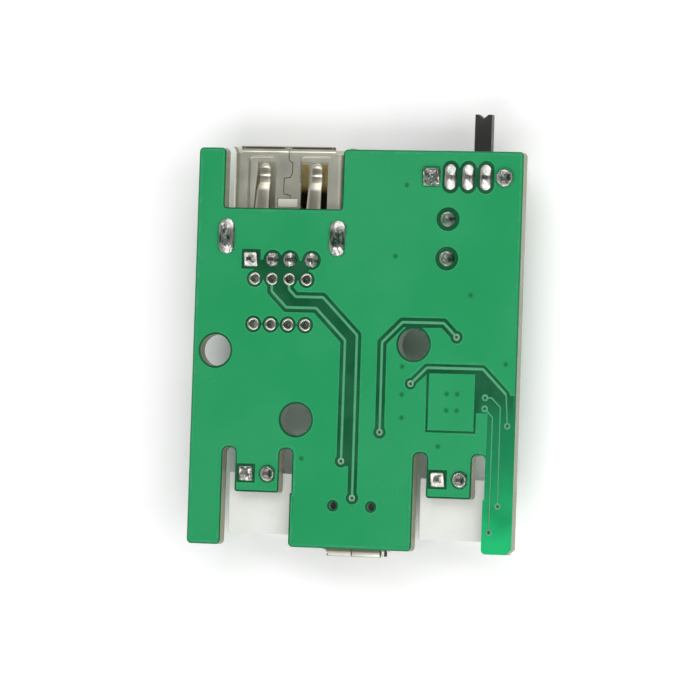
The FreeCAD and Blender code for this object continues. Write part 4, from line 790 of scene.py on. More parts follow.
def joined(meshes: Sequence[bpy.types.Mesh]) -> bpy.types.Mesh:
    """Joins several meshes, with the slot that each face wears.

    Args:
        meshes: The meshes.

    Returns:
        The whole as one mesh.
    """
    whole = bmesh.new()
    for mesh in meshes:
        whole.from_mesh(mesh)
    return mesh_of(whole)


def merged(node: bpy.types.Object) -> bmesh.types.BMesh:
    """Copies a CAD node's shape and merges its loose triangles.

    Args:
        node: The node.

    Returns:
        The copy.
    """
    shape = bmesh.new()
    shape.from_mesh(node.data)
    bmesh.ops.remove_doubles(shape, verts=shape.verts, dist=MERGE)
    return shape


def shell_without(nodes: dict[str, bpy.types.Object], node: str, name: str,
                  taken: Callable[[Vector], bool]) -> None:
    """Puts a merged copy of a shell in its place, without the parts that the scene makes anew.

    Args:
        nodes: The CAD nodes by name.
        node: The shell's name among them.
        name: The new piece's name.
        taken: Whether a corner belongs to such a part.
    """
    shape = merged(nodes[node])
    gone = [face for face in shape.faces if all(taken(vertex.co) for vertex in face.verts)]
    bmesh.ops.delete(shape, geom=gone, context="FACES")
    bmesh.ops.holes_fill(shape, edges=[edge for edge in shape.edges if edge.is_boundary])
    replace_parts(piece_from_mesh(name, mesh_of(shape), [SHELL], smooth=False), node)


@dataclass(frozen=True)
class Strip:
    """A closed curved strip of sheet that runs along the board, in millimetres.

    Attributes:
        line: Place along the board and height over the base of its face, from root to tip.
        x: Its middle at the root.
        widths: Its widths at the root and at the tip.
        across: How many faces there are across it.
        sheet: Its thickness.
        base: Height that its line is measured from.
        wear: Which slot each step of the line wears.
        lean: How far its tip's middle lies to the right of its root's.
        crown: How far its edges lie under its middle.
        tip: Radius of its rounded tip, if it has one.
        edge_drop: How far its outermost corners are rounded down.
        blunt: Square of the share of its width that the end of a rounded tip keeps.
        sharp: Angle in degrees from which its edges are shaded sharp.
    """

    line: Sequence[Point]
    x: float
    widths: Point
    across: int
    sheet: float
    base: float = 0.0
    wear: Sequence[int] = ()
    lean: float = 0.0
    crown: float = 0.0
    tip: float = 0.0
    edge_drop: float = 0.03
    blunt: float = 0.12
    sharp: float = 60.0

    def _rows(self, shape: bmesh.types.BMesh, frame: BoardFrame, y: float,
              z: float) -> tuple[list[bmesh.types.BMVert], list[bmesh.types.BMVert]]:
        """Adds the corners of one place on the line.

        Args:
            shape: The strip's shape.
            frame: The board's coordinates.
            y: Place along the board.
            z: Height over the base.

        Returns:
            The corners of its upper and of its under side.
        """
        root, end = self.line[0][0], self.line[-1][0]
        share = (y - root) / (end - root)
        half = (self.widths[0] + (self.widths[1] - self.widths[0]) * share) / 2
        past = abs(y - end)
        if past < self.tip:
            half *= math.sqrt(max(self.blunt, 1 - (1 - past / self.tip) ** 2))
        top, under = [], []
        for j in range(self.across + 1):
            side = 2 * j / self.across - 1
            drop = self.crown * side * side + (self.edge_drop if abs(side) == 1 else 0.0)
            place = frame.at(self.x + self.lean * share + side * half, y, self.base + z - drop)
            top.append(shape.verts.new(place))
            under.append(shape.verts.new(place - Vector((0, 0, self.sheet * MM))))
        return top, under

    def mesh(self, frame: BoardFrame) -> bpy.types.Mesh:
        """Makes the strip.

        Args:
            frame: The board's coordinates.

        Returns:
            Its mesh, in place.
        """
        shape = bmesh.new()
        rows = [self._rows(shape, frame, y, z) for y, z in self.line]
        for i, (near, far) in enumerate(zip(rows, rows[1:])):
            quads = [(one[j], one[j + 1], other[j + 1], other[j])
                     for one, other in zip(near, far) for j in range(self.across)]
            quads += [(near[0][j], far[0][j], far[1][j], near[1][j]) for j in (0, self.across)]
            for quad in quads:
                shape.faces.new(quad).material_index = self.wear[i] if self.wear else 0
        for top, under in (rows[0], rows[-1]):
            for j in range(self.across):
                shape.faces.new((top[j], top[j + 1], under[j + 1], under[j]))
        bmesh.ops.recalc_face_normals(shape, faces=shape.faces)
        mesh = mesh_of(shape)
        mesh.polygons.foreach_set("use_smooth", [True] * len(mesh.polygons))
        mesh.set_sharp_from_angle(angle=math.radians(self.sharp))
        return mesh


class GeometryTree(Nodes):
    """A Geometry Nodes tree with named inputs for its sizes."""

    def __init__(self, name: str, inputs: dict[str, Value]) -> None:
        """Makes the tree and its sockets.

        Args:
            name: The tree's name.
            inputs: Start value of each size, by name.
        """
        tree = bpy.data.node_groups.new(name, "GeometryNodeTree")
        tree.is_modifier = True
        super().__init__(tree)
        tree.interface.new_socket(name="Geometry", in_out="INPUT", socket_type="NodeSocketGeometry")
        self.identifiers = add_inputs(tree, inputs)
        tree.interface.new_socket(name="Geometry", in_out="OUTPUT", socket_type="NodeSocketGeometry")
        self.sizes: Sockets = self.add("NodeGroupInput").outputs

    def circle(self, corners: int, radius: object) -> Socket:
        """A level circle with so many corners."""
        feeds = {"Resolution": corners, "Radius": radius}
        return self.add("GeometryNodeCurvePrimitiveCircle", feeds).outputs["Curve"]

    def keep(self, geometry: Socket, name: str, value: Socket) -> Socket:
        """The geometry with a value of its points kept under a name."""
        feeds = {"Geometry": geometry, "Name": name, "Value": value}
        kept = self.add("GeometryNodeStoreNamedAttribute", feeds, data_type="FLOAT", domain="POINT")
        return kept.outputs[0]

    def section(self, corners: int, half_width: object, half_height: object, across: str = "") -> Socket:
        """An oval to sweep.

        Args:
            corners: How many corners it has.
            half_width: Half of its width.
            half_height: Half of its height.
            across: Name that keeps each corner's place across it, from -1 to 1, if one does.

        Returns:
            Its curve.
        """
        oval = self.circle(corners, 1.0)
        if across:
            place = self.add("GeometryNodeInputPosition").outputs[0]
            oval = self.keep(oval, across, self.parts(place)["X"])
        size = self.add("ShaderNodeCombineXYZ", {"X": half_width, "Y": half_height, "Z": 1.0}).outputs[0]
        return self.add("GeometryNodeTransform", {"Geometry": oval, "Scale": size}).outputs[0]

    def sweep(self, path: Socket, section: Socket, capped: bool = False) -> Socket:
        """A section swept along a path."""
        feeds = {"Curve": path, "Profile Curve": section, "Fill Caps": capped}
        return self.add("GeometryNodeCurveToMesh", feeds).outputs["Mesh"]

    def copies(self, geometry: Socket) -> Socket:
        """A copy of a geometry on each of the carrier's points."""
        feeds = {"Points": self.sizes["Geometry"], "Instance": geometry}
        return self.add("GeometryNodeInstanceOnPoints", feeds).outputs["Instances"]

    def finish(self, geometry: Socket, finish: str) -> None:
        """Ends the tree with real geometry in one material.

        Args:
            geometry: What the tree makes.
            finish: The finish that it wears.
        """
        real = self.add("GeometryNodeRealizeInstances", {"Geometry": geometry}).outputs[0]
        coated = self.add("GeometryNodeSetMaterial", {"Geometry": real, "Material": PALETTE.get(finish)})
        self.add("NodeGroupOutput", {"Geometry": coated.outputs[0]})

    def run(self, carrier: bpy.types.Mesh, sizes: dict[str, float]) -> bpy.types.Mesh:
        """Applies the tree to a carrier mesh.

        Args:
            carrier: Points or edges that the tree works on.
            sizes: The sizes in millimetres, by input name.

        Returns:
            The finished plain mesh.
        """
        holder = bpy.data.objects.new(self.tree.name + "_carrier", carrier)
        bpy.context.scene.collection.objects.link(holder)
        modifier = holder.modifiers.new("nodes", "NODES")
        modifier.node_group = self.tree
        for name, size in sizes.items():
            modifier[self.identifiers[name]] = size * MM
        graph = bpy.context.evaluated_depsgraph_get()
        graph.update()
        mesh = bpy.data.meshes.new_from_object(holder.evaluated_get(graph), depsgraph=graph)
        holder.modifiers.clear()
        bpy.data.objects.remove(holder)
        return mesh


class SweepTree(GeometryTree):
    """Sweeps a low rounded ridge along edges that lie in a level plane."""

    turn_steps: int = 5
    section_corners: int = 16

    def __init__(self, name: str, finish: str) -> None:
        """Builds the tree.

        Args:
            name: The tree's name.
            finish: The finish of the ridges.
        """
        super().__init__(name, {"Width": 0.3, "Rise": 0.05, "Turn": 0.3})
        curve = self.add("GeometryNodeMeshToCurve", {"Mesh": self.sizes["Geometry"]}).outputs["Curve"]
        turns = {"Curve": curve, "Radius": self.sizes["Turn"], "Count": self.turn_steps}
        rounded = self.add("GeometryNodeFilletCurve", turns, mode="POLY").outputs["Curve"]
        level = self.add("GeometryNodeSetCurveNormal", {"Curve": rounded}, mode="Z_UP").outputs["Curve"]
        half_width = self.math("MULTIPLY", self.sizes["Width"], 0.5)
        section = self.section(self.section_corners, half_width, self.sizes["Rise"], "across")
        self.finish(self.sweep(level, section, capped=True), finish)

    def along(self, paths: Sequence[Sequence[Vector]], width: float, rise: float,
              turn: float) -> bpy.types.Mesh:
        """Sweeps along open paths.

        Args:
            paths: The corners of each path, in metres.
            width: Width of the ridge in millimetres.
            rise: Its height in millimetres.
            turn: Radius of its corners in millimetres.

        Returns:
            The ridges' mesh.
        """
        points, edges = [], []
        for path in paths:
            first = len(points)
            points += path
            edges += [(first + i, first + i + 1) for i in range(len(path) - 1)]
        return self.run(points_mesh(points, edges), {"Width": width, "Rise": rise, "Turn": turn})


# The board


@dataclass
class SubAssembly:
    """A sub-assembly of the module, with its sizes in board millimetres.

    Attributes:
        frame: The board's coordinates.
        nodes: The CAD nodes by name.
    """

    frame: BoardFrame
    nodes: dict[str, bpy.types.Object]

    def build(self) -> None:
        """Makes and dresses its pieces."""
        raise NotImplementedError


@dataclass
class Board(SubAssembly):
    """The laminate with the mask and copper on both faces."""

    wide_track: float = 0.36
    fine_track: float = 0.2
    track_rise: float = 0.055
    turn_radius: float = 0.3
    rim_width: float = 0.16
    outline_width: float = 0.34
    rim_rise: float = 0.012
    # Copper is a track where its face is narrower than this on average.
    narrowest: float = 0.3
    tracks: list[list[Point]] = field(default_factory=lambda: [
        [(-9.7, 7.0), (-9.7, 6.15), (-7.95, 4.4), (-4.5, 4.4), (-1.05, 0.95), (-1.05, -12.0)],
        [(-7.7, 7.0), (-7.7, 6.4), (-6.9, 5.6), (-3.75, 5.6), (0.3, 1.55), (0.35, -16.0)],
        [(11.45, 1.8), (10.15, 3.1), (5.45, 3.1), (3.2, 0.85), (3.25, -8.7)],
        [(6.8, -3.4), (8.4, -1.8), (14.75, -1.8), (17.45, -4.5)]])
    fine_tracks: list[list[Point]] = field(default_factory=lambda: [
        [(17.45, -4.5), (17.7, -7.7)],
        [(15.3, -4.9), (15.85, -4.9), (16.85, -5.9), (16.9, -16.45)],
        [(15.25, -6.25), (16.0, -7.0), (16.0, -19.3)]])

    def build(self) -> None:
        """Dresses the board and adds its masked tracks and copper edges."""
        dress(self.nodes["circuit_board"], "bare_board")
        dress(self.nodes["component_side_copper"], "mask_under_side")
        shape = merged(self.nodes["solder_side_copper"])
        self._drop_tracks(shape)
        pour = piece_from_mesh("solder_face_mask", mesh_of(shape, last=False), [MASK], smooth=False)
        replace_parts(pour, "solder_side_copper")
        self._edges(shape)
        shape.free()
        self._tracks()

    def _drop_tracks(self, shape: bmesh.types.BMesh) -> None:
        """Takes out the narrow tracks, which are swept on their own.

        Args:
            shape: The merged copper.
        """
        left = set(shape.faces)
        while left:
            group, waiting = [], [left.pop()]
            while waiting:
                face = waiting.pop()
                group.append(face)
                near = {other for edge in face.edges for other in edge.link_faces} & left
                left -= near
                waiting += near
            tops = [f for f in group if f.normal.z > TOP_FACE]
            walls = sum(e.calc_length() for f in tops for e in f.edges
                        if any(g.normal.z < TOP_FACE for g in e.link_faces))
            if sum(f.calc_area() for f in tops) < self.narrowest * MM * walls:
                bmesh.ops.delete(shape, geom=group, context="FACES")

    def _edges(self, shape: bmesh.types.BMesh) -> None:
        """Sweeps the light rim of the mask along every copper edge, wider along the board's own outline.

        Args:
            shape: The merged copper without its tracks.
        """
        loops = self._loops([e for e in shape.edges
                             if sorted(f.normal.z > TOP_FACE for f in e.link_faces) == [False, True]])
        outline = max(loops, key=self._spread)
        tree = SweepTree("copper_edge", "mask_rim")
        meshes = []
        for loop in loops:
            vertices = list(dict.fromkeys(vertex for edge in loop for vertex in edge.verts))
            numbers = {vertex: i for i, vertex in enumerate(vertices)}
            edges = [(numbers[e.verts[0]], numbers[e.verts[1]]) for e in loop]
            width = self.outline_width if loop is outline else self.rim_width
            meshes.append(tree.run(points_mesh([v.co.copy() for v in vertices], edges),
                                   {"Width": width, "Rise": self.rim_rise, "Turn": 0.0}))
        piece_from_mesh("copper_edges", joined(meshes), ["mask_rim"])

    def _loops(self, rims: Sequence[bmesh.types.BMEdge]) -> list[list[bmesh.types.BMEdge]]:
        """Sorts edges into closed loops.

        Args:
            rims: The edges.

        Returns:
            The edges of each loop.
        """
        left, loops = set(rims), []
        for rim in rims:
            if rim not in left:
                continue
            left.discard(rim)
            loop, waiting = [], [rim]
            while waiting:
                edge = waiting.pop()
                loop.append(edge)
                near = [e for vertex in edge.verts for e in vertex.link_edges if e in left]
                left.difference_update(near)
                waiting += dict.fromkeys(near)
            loops.append(loop)
        return loops

    def _spread(self, loop: Sequence[bmesh.types.BMEdge]) -> float:
        """Width and length of the box around a loop, added up."""
        places = [vertex.co for edge in loop for vertex in edge.verts]
        return sum(max(p[axis] for p in places) - min(p[axis] for p in places) for axis in (0, 1))

    def _tracks(self) -> None:
        """Sweeps the masked tracks as low rounded ridges."""
        tree = SweepTree("track_ridge", "mask_on_track")
        meshes = []
        for width, tracks in ((self.wide_track, self.tracks), (self.fine_track, self.fine_tracks)):
            paths = [[self.frame.at(x, y, -self.frame.foil) for x, y in track] for track in tracks]
            meshes.append(tree.along(paths, width, self.track_rise, self.turn_radius))
        piece_from_mesh("track_ridges", joined(meshes), ["mask_on_track"])


@dataclass
class PlatedHoles(SubAssembly):
    """Tinned rings of the empty holes, open via rings and masked vias."""

    board_thickness: float = 1.6
    spare_pitch: float = 2.0
    spare_count: int = 4
    # Place of the leftmost empty holes, and the places of their two rows along the board.
    spare_left: float = -11.7
    spare_rows: Point = (7.5, 2.5)
    # Radii are those of a ring's outer and inner edge. Rises and levels are heights over the copper.
    spare_radii: Point = (0.685, 0.45)
    spare_rise: float = 0.08
    via_radii: Point = (0.375, 0.175)
    via_rise: float = 0.02
    dimple: float = 0.4
    dimple_level: float = 0.004
    filling: float = 0.2
    filling_level: float = -0.07
    # Share of the ring's half width that the barrel's half wall takes.
    barrel_wall: float = 0.22
    ring_corners: int = 40
    section_corners: int = 14
    dish_corners: int = 20
    # Middles of the covered vias, of the open ones, and of those under mask on the fine tracks.
    covered: list[Point] = field(default_factory=lambda: [
        (5.45, 18.1), (4.4, 10.3), (13.1, 6.2), (17.3, -1.2), (5.6, -1.75), (5.65, -4.8), (5.7, -7.35),
        (9.95, -10.35), (-5.6, -12.15), (10.75, -4.6), (11.95, -4.6), (10.75, -6.4), (11.95, -6.4)])
    bare: list[Point] = field(default_factory=lambda: [
        (0.35, -16.3), (3.25, -9.0), (-1.05, -12.3), (11.65, 1.6), (6.6, -3.6)])
    fine: list[Point] = field(default_factory=lambda: [
        (17.7, -7.9), (15.1, -4.9), (15.1, -6.1), (16.9, -16.65), (16.0, -19.5)])

    def build(self) -> None:
        """Makes the rings, dimples and fillings."""
        spare = [(self.spare_left + i * self.spare_pitch, y)
                 for y in self.spare_rows for i in range(self.spare_count)]
        rings = self._rings("spare_rings", spare, self.spare_radii, self.spare_rise, "bright_tin")
        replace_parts(rings, "spare_hole_rings")
        vias = self._rings("bare_via_rings", self.bare, self.via_radii, self.via_rise, "via_metal")
        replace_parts(vias, "via_rings")
        self._rings("fine_via_rings", self.fine, self.via_radii, self.via_rise, "via_mask")
        self._dishes("covered_vias", self.covered, self.dimple, self.dimple_level, "mask_dimple")
        self._dishes("via_fillings", self.bare + self.fine, self.filling, self.filling_level, "via_filling")

    def _rings(self, name: str, places: Sequence[Point], radii: Point, rise: float,
               finish: str) -> bpy.types.Object:
        """Rounded rings on both faces with a barrel between them.

        Args:
            name: The piece's name.
            places: Hole middles.
            radii: Outer and inner radius of the rings.
            rise: How far they stand over the copper.
            finish: Their finish.

        Returns:
            The piece.
        """
        tree = GeometryTree(name, {"Outer": 1.0, "Inner": 1.0, "Rise": 1.0, "Thickness": 1.0})
        rises, thickness, inner = tree.sizes["Rise"], tree.sizes["Thickness"], tree.sizes["Inner"]
        half_width = tree.math("MULTIPLY", tree.math("SUBTRACT", tree.sizes["Outer"], inner), 0.5)
        middle = tree.math("ADD", inner, half_width)
        half_wall = tree.math("MULTIPLY", half_width, self.barrel_wall)
        half_depth = tree.math("MULTIPLY", thickness, 0.5)
        whole = tree.add("GeometryNodeJoinGeometry")
        # Half width, half height, radius and level in board thicknesses of each ring and the barrel.
        for wide, high, radius, level in (
                (half_width, rises, middle, 0.0), (half_width, rises, middle, -1.0),
                (half_wall, half_depth, tree.math("ADD", inner, half_wall), -0.5)):
            section = tree.section(self.section_corners, wide, high)
            ring = tree.sweep(tree.circle(self.ring_corners, radius), section)
            drop = tree.add("ShaderNodeCombineXYZ", {"Z": tree.math("MULTIPLY", thickness, level)})
            placed = tree.add("GeometryNodeTransform", {"Geometry": ring, "Translation": drop.outputs[0]})
            tree.put(whole.inputs[0], placed.outputs[0])
        tree.finish(tree.copies(whole.outputs[0]), finish)
        sizes = {"Outer": radii[0], "Inner": radii[1], "Rise": rise, "Thickness": self.board_thickness}
        mesh = tree.run(points_mesh([self.frame.at(x, y) for x, y in places]), sizes)
        return piece_from_mesh(name, mesh, [finish])

    def _dishes(self, name: str, places: Sequence[Point], radius: float, level: float, finish: str) -> None:
        """Small level dishes over or in the vias.

        Args:
            name: The piece's name.
            places: Their middles.
            radius: Their radius.
            level: Their height over the copper.
            finish: Their finish.
        """
        tree = GeometryTree(name, {"Radius": 0.2})
        whole = tree.sizes["Radius"]
        disc = tree.add("GeometryNodeMeshCircle", {"Vertices": self.dish_corners, "Radius": whole},
                        fill_type="TRIANGLE_FAN").outputs["Mesh"]
        place = tree.add("GeometryNodeInputPosition").outputs[0]
        reach = tree.add("ShaderNodeVectorMath", {0: place}, operation="LENGTH").outputs["Value"]
        dish = tree.keep(disc, "rim", tree.math("DIVIDE", reach, whole))
        tree.finish(tree.copies(dish), finish)
        mesh = tree.run(points_mesh([self.frame.at(x, y, level) for x, y in places]), {"Radius": radius})
        piece_from_mesh(name, mesh, [finish])


# Solder


@dataclass(frozen=True)
class Joint:
    """One solder joint on its pad, in board millimetres, with u across and v along the pad from -1 to 1.

    Attributes:
        x: Middle of the pad across the board.
        y: Middle of the pad along the board.
        half_width: Half of the pad's width.
        half_length: Half of its length.
        seed: Which stretch of the noise shapes it.
        lumpy: Height of its lumps.
        ragged: Depth of the notches in its outline and of its folds.
        square: Whether its pad is square.
        patchy: Whether scratched film lies in patches all over it.
        margin: How far the mask's opening lies outside it.
        turns: How many corners it has around it.
        rings: How many rows of faces it has from its edge to its middle.
        foot: Share of the way to the middle over which its edge rises.
        squareness: Power of the rounded square that a square pad is.
        wave: How far the outline of a round one swings.
        bends: How quickly the outline swings and its notches follow on each other.
        seed_steps: How far apart the seeds lie in the noise of the lumps, the outline and its notches.
        closing: How quickly a long pad's sides close up towards its middle line and its ends.
        slit: Half width and half length of the slit over a pin's flat end.
        slit_sway: Middle of the slit along the pad, how far it sways and how quickly.
        slit_skew: How far it lies askew.
        tuck: Share of the way to its middle that the opening's edge reaches under it.
        opening_levels: Height of the opening's inner and outer edge over the copper.
        lump_scale: How quickly broad and fine lumps and facets follow on each other.
        facet_mean: Height of a facet that counts as none.
        cloud_scale: How quickly clouds in the film follow on each other.
        cloud_swing: How much they differ.
        patch_from: Thickness of the clouds that shows as a patch.
        patch_gain: How quickly a patch darkens.
        darkest: Share of film that a patch or fold has at most.
    """

    x: float
    y: float
    half_width: float
    half_length: float
    seed: int
    lumpy: float
    ragged: float = 0.0
    square: bool = False
    patchy: bool = False
    margin: float = 0.13
    turns: int = 48
    rings: int = 20
    foot: float = 0.12
    squareness: float = 12.0
    wave: float = 0.04
    bends: Point = (2.0, 6.0)
    seed_steps: tuple[float, float, float] = (3.7, 3.1, 2.3)
    closing: Point = (1.4, 4.0)
    slit: Point = (0.4, 0.15)
    slit_sway: tuple[float, float, float] = (-0.1, 0.14, 5.0)
    slit_skew: float = 0.2
    tuck: float = 0.04
    opening_levels: Point = (0.01, 0.004)
    lump_scale: tuple[float, float, float] = (1.7, 4.1, 1.6)
    facet_mean: float = 0.4
    cloud_scale: float = 2.3
    cloud_swing: float = 0.8
    patch_from: float = 0.55
    patch_gain: float = 3.6
    darkest: float = 0.9

    def height(self, share: float, u: float, v: float) -> float:
        """Height of the solder over the copper, where share is 0 at the pad's edge and 1 in the middle."""
        raise NotImplementedError

    def darkening(self, u: float, v: float) -> float:
        """Share of dark film, partly residue and partly painted shade, that this kind of joint keeps at a
        place.
        """
        raise NotImplementedError

    def film(self, u: float, v: float) -> float:
        """Share of dark film over the solder, partly residue and partly painted shade.

        Args:
            u: Place across the pad.
            v: Place along the pad.

        Returns:
            The share, from 0 to 1.
        """
        share = self.darkening(u, v)
        if self.patchy:
            patch = max(0.0, (self._cloud(u, v) - self.patch_from) * self.patch_gain)
            share = max(share, min(self.darkest, patch))
        return clamped(share)

    def _edge(self, share: float) -> float:
        """Smooth rise of the joint's foot."""
        rise = min(1.0, share / self.foot)
        return rise * rise * (3 - 2 * rise)

    def _dome(self, share: float) -> float:
        """Rise of a round dome."""
        return math.sqrt(1 - (1 - share) ** 2)

    def _noise_spot(self, u: float, v: float) -> Vector:
        """Place in the joint's own stretch of the noise."""
        return Vector((u, v * self.half_length / self.half_width, self.seed * self.seed_steps[0]))

    def _lumps(self, u: float, v: float) -> float:
        """Height of the broad lumps and of fine ones half as high."""
        spot = self._noise_spot(u, v)
        broad, fine = noise.noise(spot * self.lump_scale[0]), noise.noise(spot * self.lump_scale[1])
        return self.lumpy * (broad + fine / 2)

    def _facet(self, u: float, v: float) -> float:
        """Height of the facets that crystals leave."""
        cell = noise.voronoi(self._noise_spot(u, v) * self.lump_scale[2])
        return self.lumpy * (cell[0][0] - self.facet_mean)

    def _cloud(self, u: float, v: float) -> float:
        """Thickness of the clouds in the film, about a half on average."""
        return 0.5 + self.cloud_swing * noise.noise(self._noise_spot(u, v) * self.cloud_scale)

    def _slit(self, u: float, v: float) -> float:
        """The eye-shaped dip over a pin's flat end, a little wavy and askew."""
        middle = self.slit_sway[0] - self.slit_sway[1] * math.sin(self.slit_sway[2] * u)
        across, along = (u + self.slit_skew * v) / self.slit[0], (v - middle) / self.slit[1]
        return math.exp(-across ** 2 - along ** 2)

    def _spot(self, share: float, angle: float) -> tuple[float, float, float, float]:
        """Place of a point of the joint.

        Args:
            share: 0 at the pad's edge and 1 in the middle.
            angle: Direction from the middle.

        Returns:
            Its x and y on the board and its u and v on the pad.
        """
        c, s = math.cos(angle), math.sin(angle)
        reach, wave = 1.0, 1.0
        if self.square:
            reach = (abs(c) ** self.squareness + abs(s) ** self.squareness) ** (-1 / self.squareness)
        else:
            bend = self.bends[0]
            place = Vector((c * bend, s * bend, self.seed * self.seed_steps[1]))
            wave += self.wave * noise.noise(place)
        notch = self.bends[1]
        place = Vector((c * notch, s * notch, self.seed * self.seed_steps[2]))
        wave -= self.ragged * abs(noise.noise(place))
        out = (1 - share) * reach * self.half_width * wave
        dx = c * out
        # A long pad has round ends and straight sides.
        inward, endward = (min(1.0, quick * part) for quick, part in zip(self.closing, (1 - share, abs(s))))
        straight = (self.half_length - self.half_width) * inward * endward
        dy = s * out + math.copysign(straight, s)
        return self.x + dx, self.y + dy, dx / self.half_width, dy / self.half_length

    def mesh(self, frame: BoardFrame, outlined: bool) -> bpy.types.Mesh:
        """Makes the joint, and the dark edge of the mask's opening around it.

        Args:
            frame: The board's coordinates.
            outlined: Whether the opening's edge shows.

        Returns:
            Its mesh, in place.
        """
        shape = bmesh.new()
        film = shape.verts.layers.float.new("film")
        rows: list[list[bmesh.types.BMVert]] = []
        # The first row closes the underside, which lies on the laminate.
        for ring in range(-1, self.rings):
            share = max(0, ring) / self.rings
            row = []
            for i in range(self.turns):
                x, y, u, v = self._spot(share, math.tau * i / self.turns)
                height = -frame.foil if ring < 0 else self.height(share, u, v)
                vertex = shape.verts.new(frame.at(x, y, height))
                vertex[film] = self.film(u, v)
                row.append(vertex)
            rows.append(row)
        peak = shape.verts.new(frame.at(self.x, self.y, self.height(1.0, 0.0, 0.0)))
        peak[film] = self.film(0.0, 0.0)
        for low, high in zip(rows, rows[1:]):
            for i in range(self.turns):
                shape.faces.new((low[i], low[(i + 1) % self.turns], high[(i + 1) % self.turns], high[i]))
        for i in range(self.turns):
            shape.faces.new((rows[-1][i], rows[-1][(i + 1) % self.turns], peak))
        shape.faces.new(list(reversed(rows[0])))
        if outlined:
            self._opening(shape, frame)
        return mesh_of(shape)

    def _opening(self, shape: bmesh.types.BMesh, frame: BoardFrame) -> None:
        """Adds the flat dark ring of the mask's opening.

        Args:
            shape: The joint's shape.
            frame: The board's coordinates.
        """
        grown = replace(self, half_width=self.half_width + self.margin,
                        half_length=self.half_length + self.margin)
        rims = []
        for joint, share, level in zip((self, grown), (self.tuck, 0.0), self.opening_levels):
            spots = [joint._spot(share, math.tau * i / self.turns) for i in range(self.turns)]
            rims.append([(x, y, level) for x, y, _, _ in spots])
        inner, outer = [], []
        for near, far in zip(*rims):
            inner.append(shape.verts.new(frame.at(*near)))
            outer.append(shape.verts.new(frame.at(*far)))
        for i in range(self.turns):
            j = (i + 1) % self.turns
            shape.faces.new((outer[i], outer[j], inner[j], inner[i])).material_index = 1


@dataclass(frozen=True)
class FlatJoint(Joint):
    """Flat sloping solder with a slit over a pin's end.

    Attributes:
        low: Height of its lower end.
        slope: How much higher its other end is.
        lift: How far all of it stands over the copper.
        slit_depth: Depth of the slit.
        slit_film: Share of film in the slit.
    """

    low: float = 0.03
    slope: float = 0.42
    lift: float = 0.01
    slit_depth: float = 0.05
    slit_film: float = 0.9

    def height(self, share: float, u: float, v: float) -> float:
        """Height of the slope, less the slit."""
        face = self.low + self.slope * (v + 1) / 2 + self._lumps(u, v) + self._facet(u, v)
        return self._edge(share) * face + self.lift - self.slit_depth * self._slit(u, v)

    def darkening(self, u: float, v: float) -> float:
        """Film in the slit."""
        return self.slit_film * self._slit(u, v)


@dataclass(frozen=True)
class LobeJoint(Joint):
    """Solder with a lobe at each side of a terminal.

    Attributes:
        rise: Height of its ridge.
        low: Height at its ends.
        lift: How far all of it stands over the copper.
        sag: Power that rounds its ridge.
        fullness: Power of its dome.
        crease_depth: Share of the height that the fold between the lobes takes.
        crease_film: Share of film in the fold.
        crease_from: How far left of the middle the film starts.
        crease_slant: How quickly the fold is left along and across the pad.
        crease_half: Its half width.
    """

    rise: float = 0.38
    low: float = 0.06
    lift: float = 0.02
    sag: float = 1.05
    fullness: float = 0.5
    crease_depth: float = 0.25
    crease_film: float = 0.4
    crease_from: float = 0.7
    crease_slant: Point = (2.2, 0.75)
    crease_half: float = 0.22

    def _crease(self, u: float, v: float) -> float:
        """The slanting fold between the two lobes."""
        along, across = self.crease_slant
        return math.exp(-((v * along + across * u) / self.crease_half) ** 2)

    def height(self, share: float, u: float, v: float) -> float:
        """Height of the lobes."""
        roof = (1 - abs(v) ** self.sag) * (1 - self.crease_depth * self._crease(u, v))
        face = self.low + self.rise * roof + self._lumps(u, v)
        return self._dome(share) ** self.fullness * face + self.lift

    def darkening(self, u: float, v: float) -> float:
        """Film in the fold."""
        return self.crease_film * self._crease(u, v) * clamped(u + self.crease_from)


@dataclass(frozen=True)
class LegJoint(Joint):
    """Solder with thick middle parts over a soldered leg of the shell.

    Attributes:
        rise: Height over its ends.
        darkened: How much dark film lies in its middle.
        low: Height at its ends.
        lift: How far all of it stands over the copper.
        ends: Share of its half length over which it rises.
        fullness: Power of its dome.
        film_middle: Middle of the film along it.
        film_reach: How far the film reaches along and across it.
        film_fade: Over how much it fades along and across it.
        film_least: Film that it always has there.
        film_swing: How much the clouds change it.
    """

    rise: float = 0.33
    darkened: float = 0.35
    low: float = 0.05
    lift: float = 0.02
    ends: float = 0.5
    fullness: float = 0.7
    film_middle: float = 0.04
    film_reach: Point = (0.56, 1.02)
    film_fade: Point = (0.16, 0.3)
    film_least: float = 0.1
    film_swing: float = 2.6

    def height(self, share: float, u: float, v: float) -> float:
        """Height of the thick part."""
        thick = self.rise * min(1.0, (1 - abs(v)) / self.ends)
        face = self.low + thick + self._lumps(u, v) + self._facet(u, v)
        return self._dome(share) ** self.fullness * face + self.lift

    def darkening(self, u: float, v: float) -> float:
        """Cloudy film in the middle.

        Args:
            u: Place across the pad.
            v: Place along the pad.

        Returns:
            The share of film.
        """
        along = clamped((self.film_reach[0] - abs(v - self.film_middle)) / self.film_fade[0])
        across = clamped((self.film_reach[1] - abs(u)) / self.film_fade[1])
        cloud = self.film_swing * (self._cloud(u, v) - 0.5)
        return along * across * (self.film_least + self.darkened + cloud)


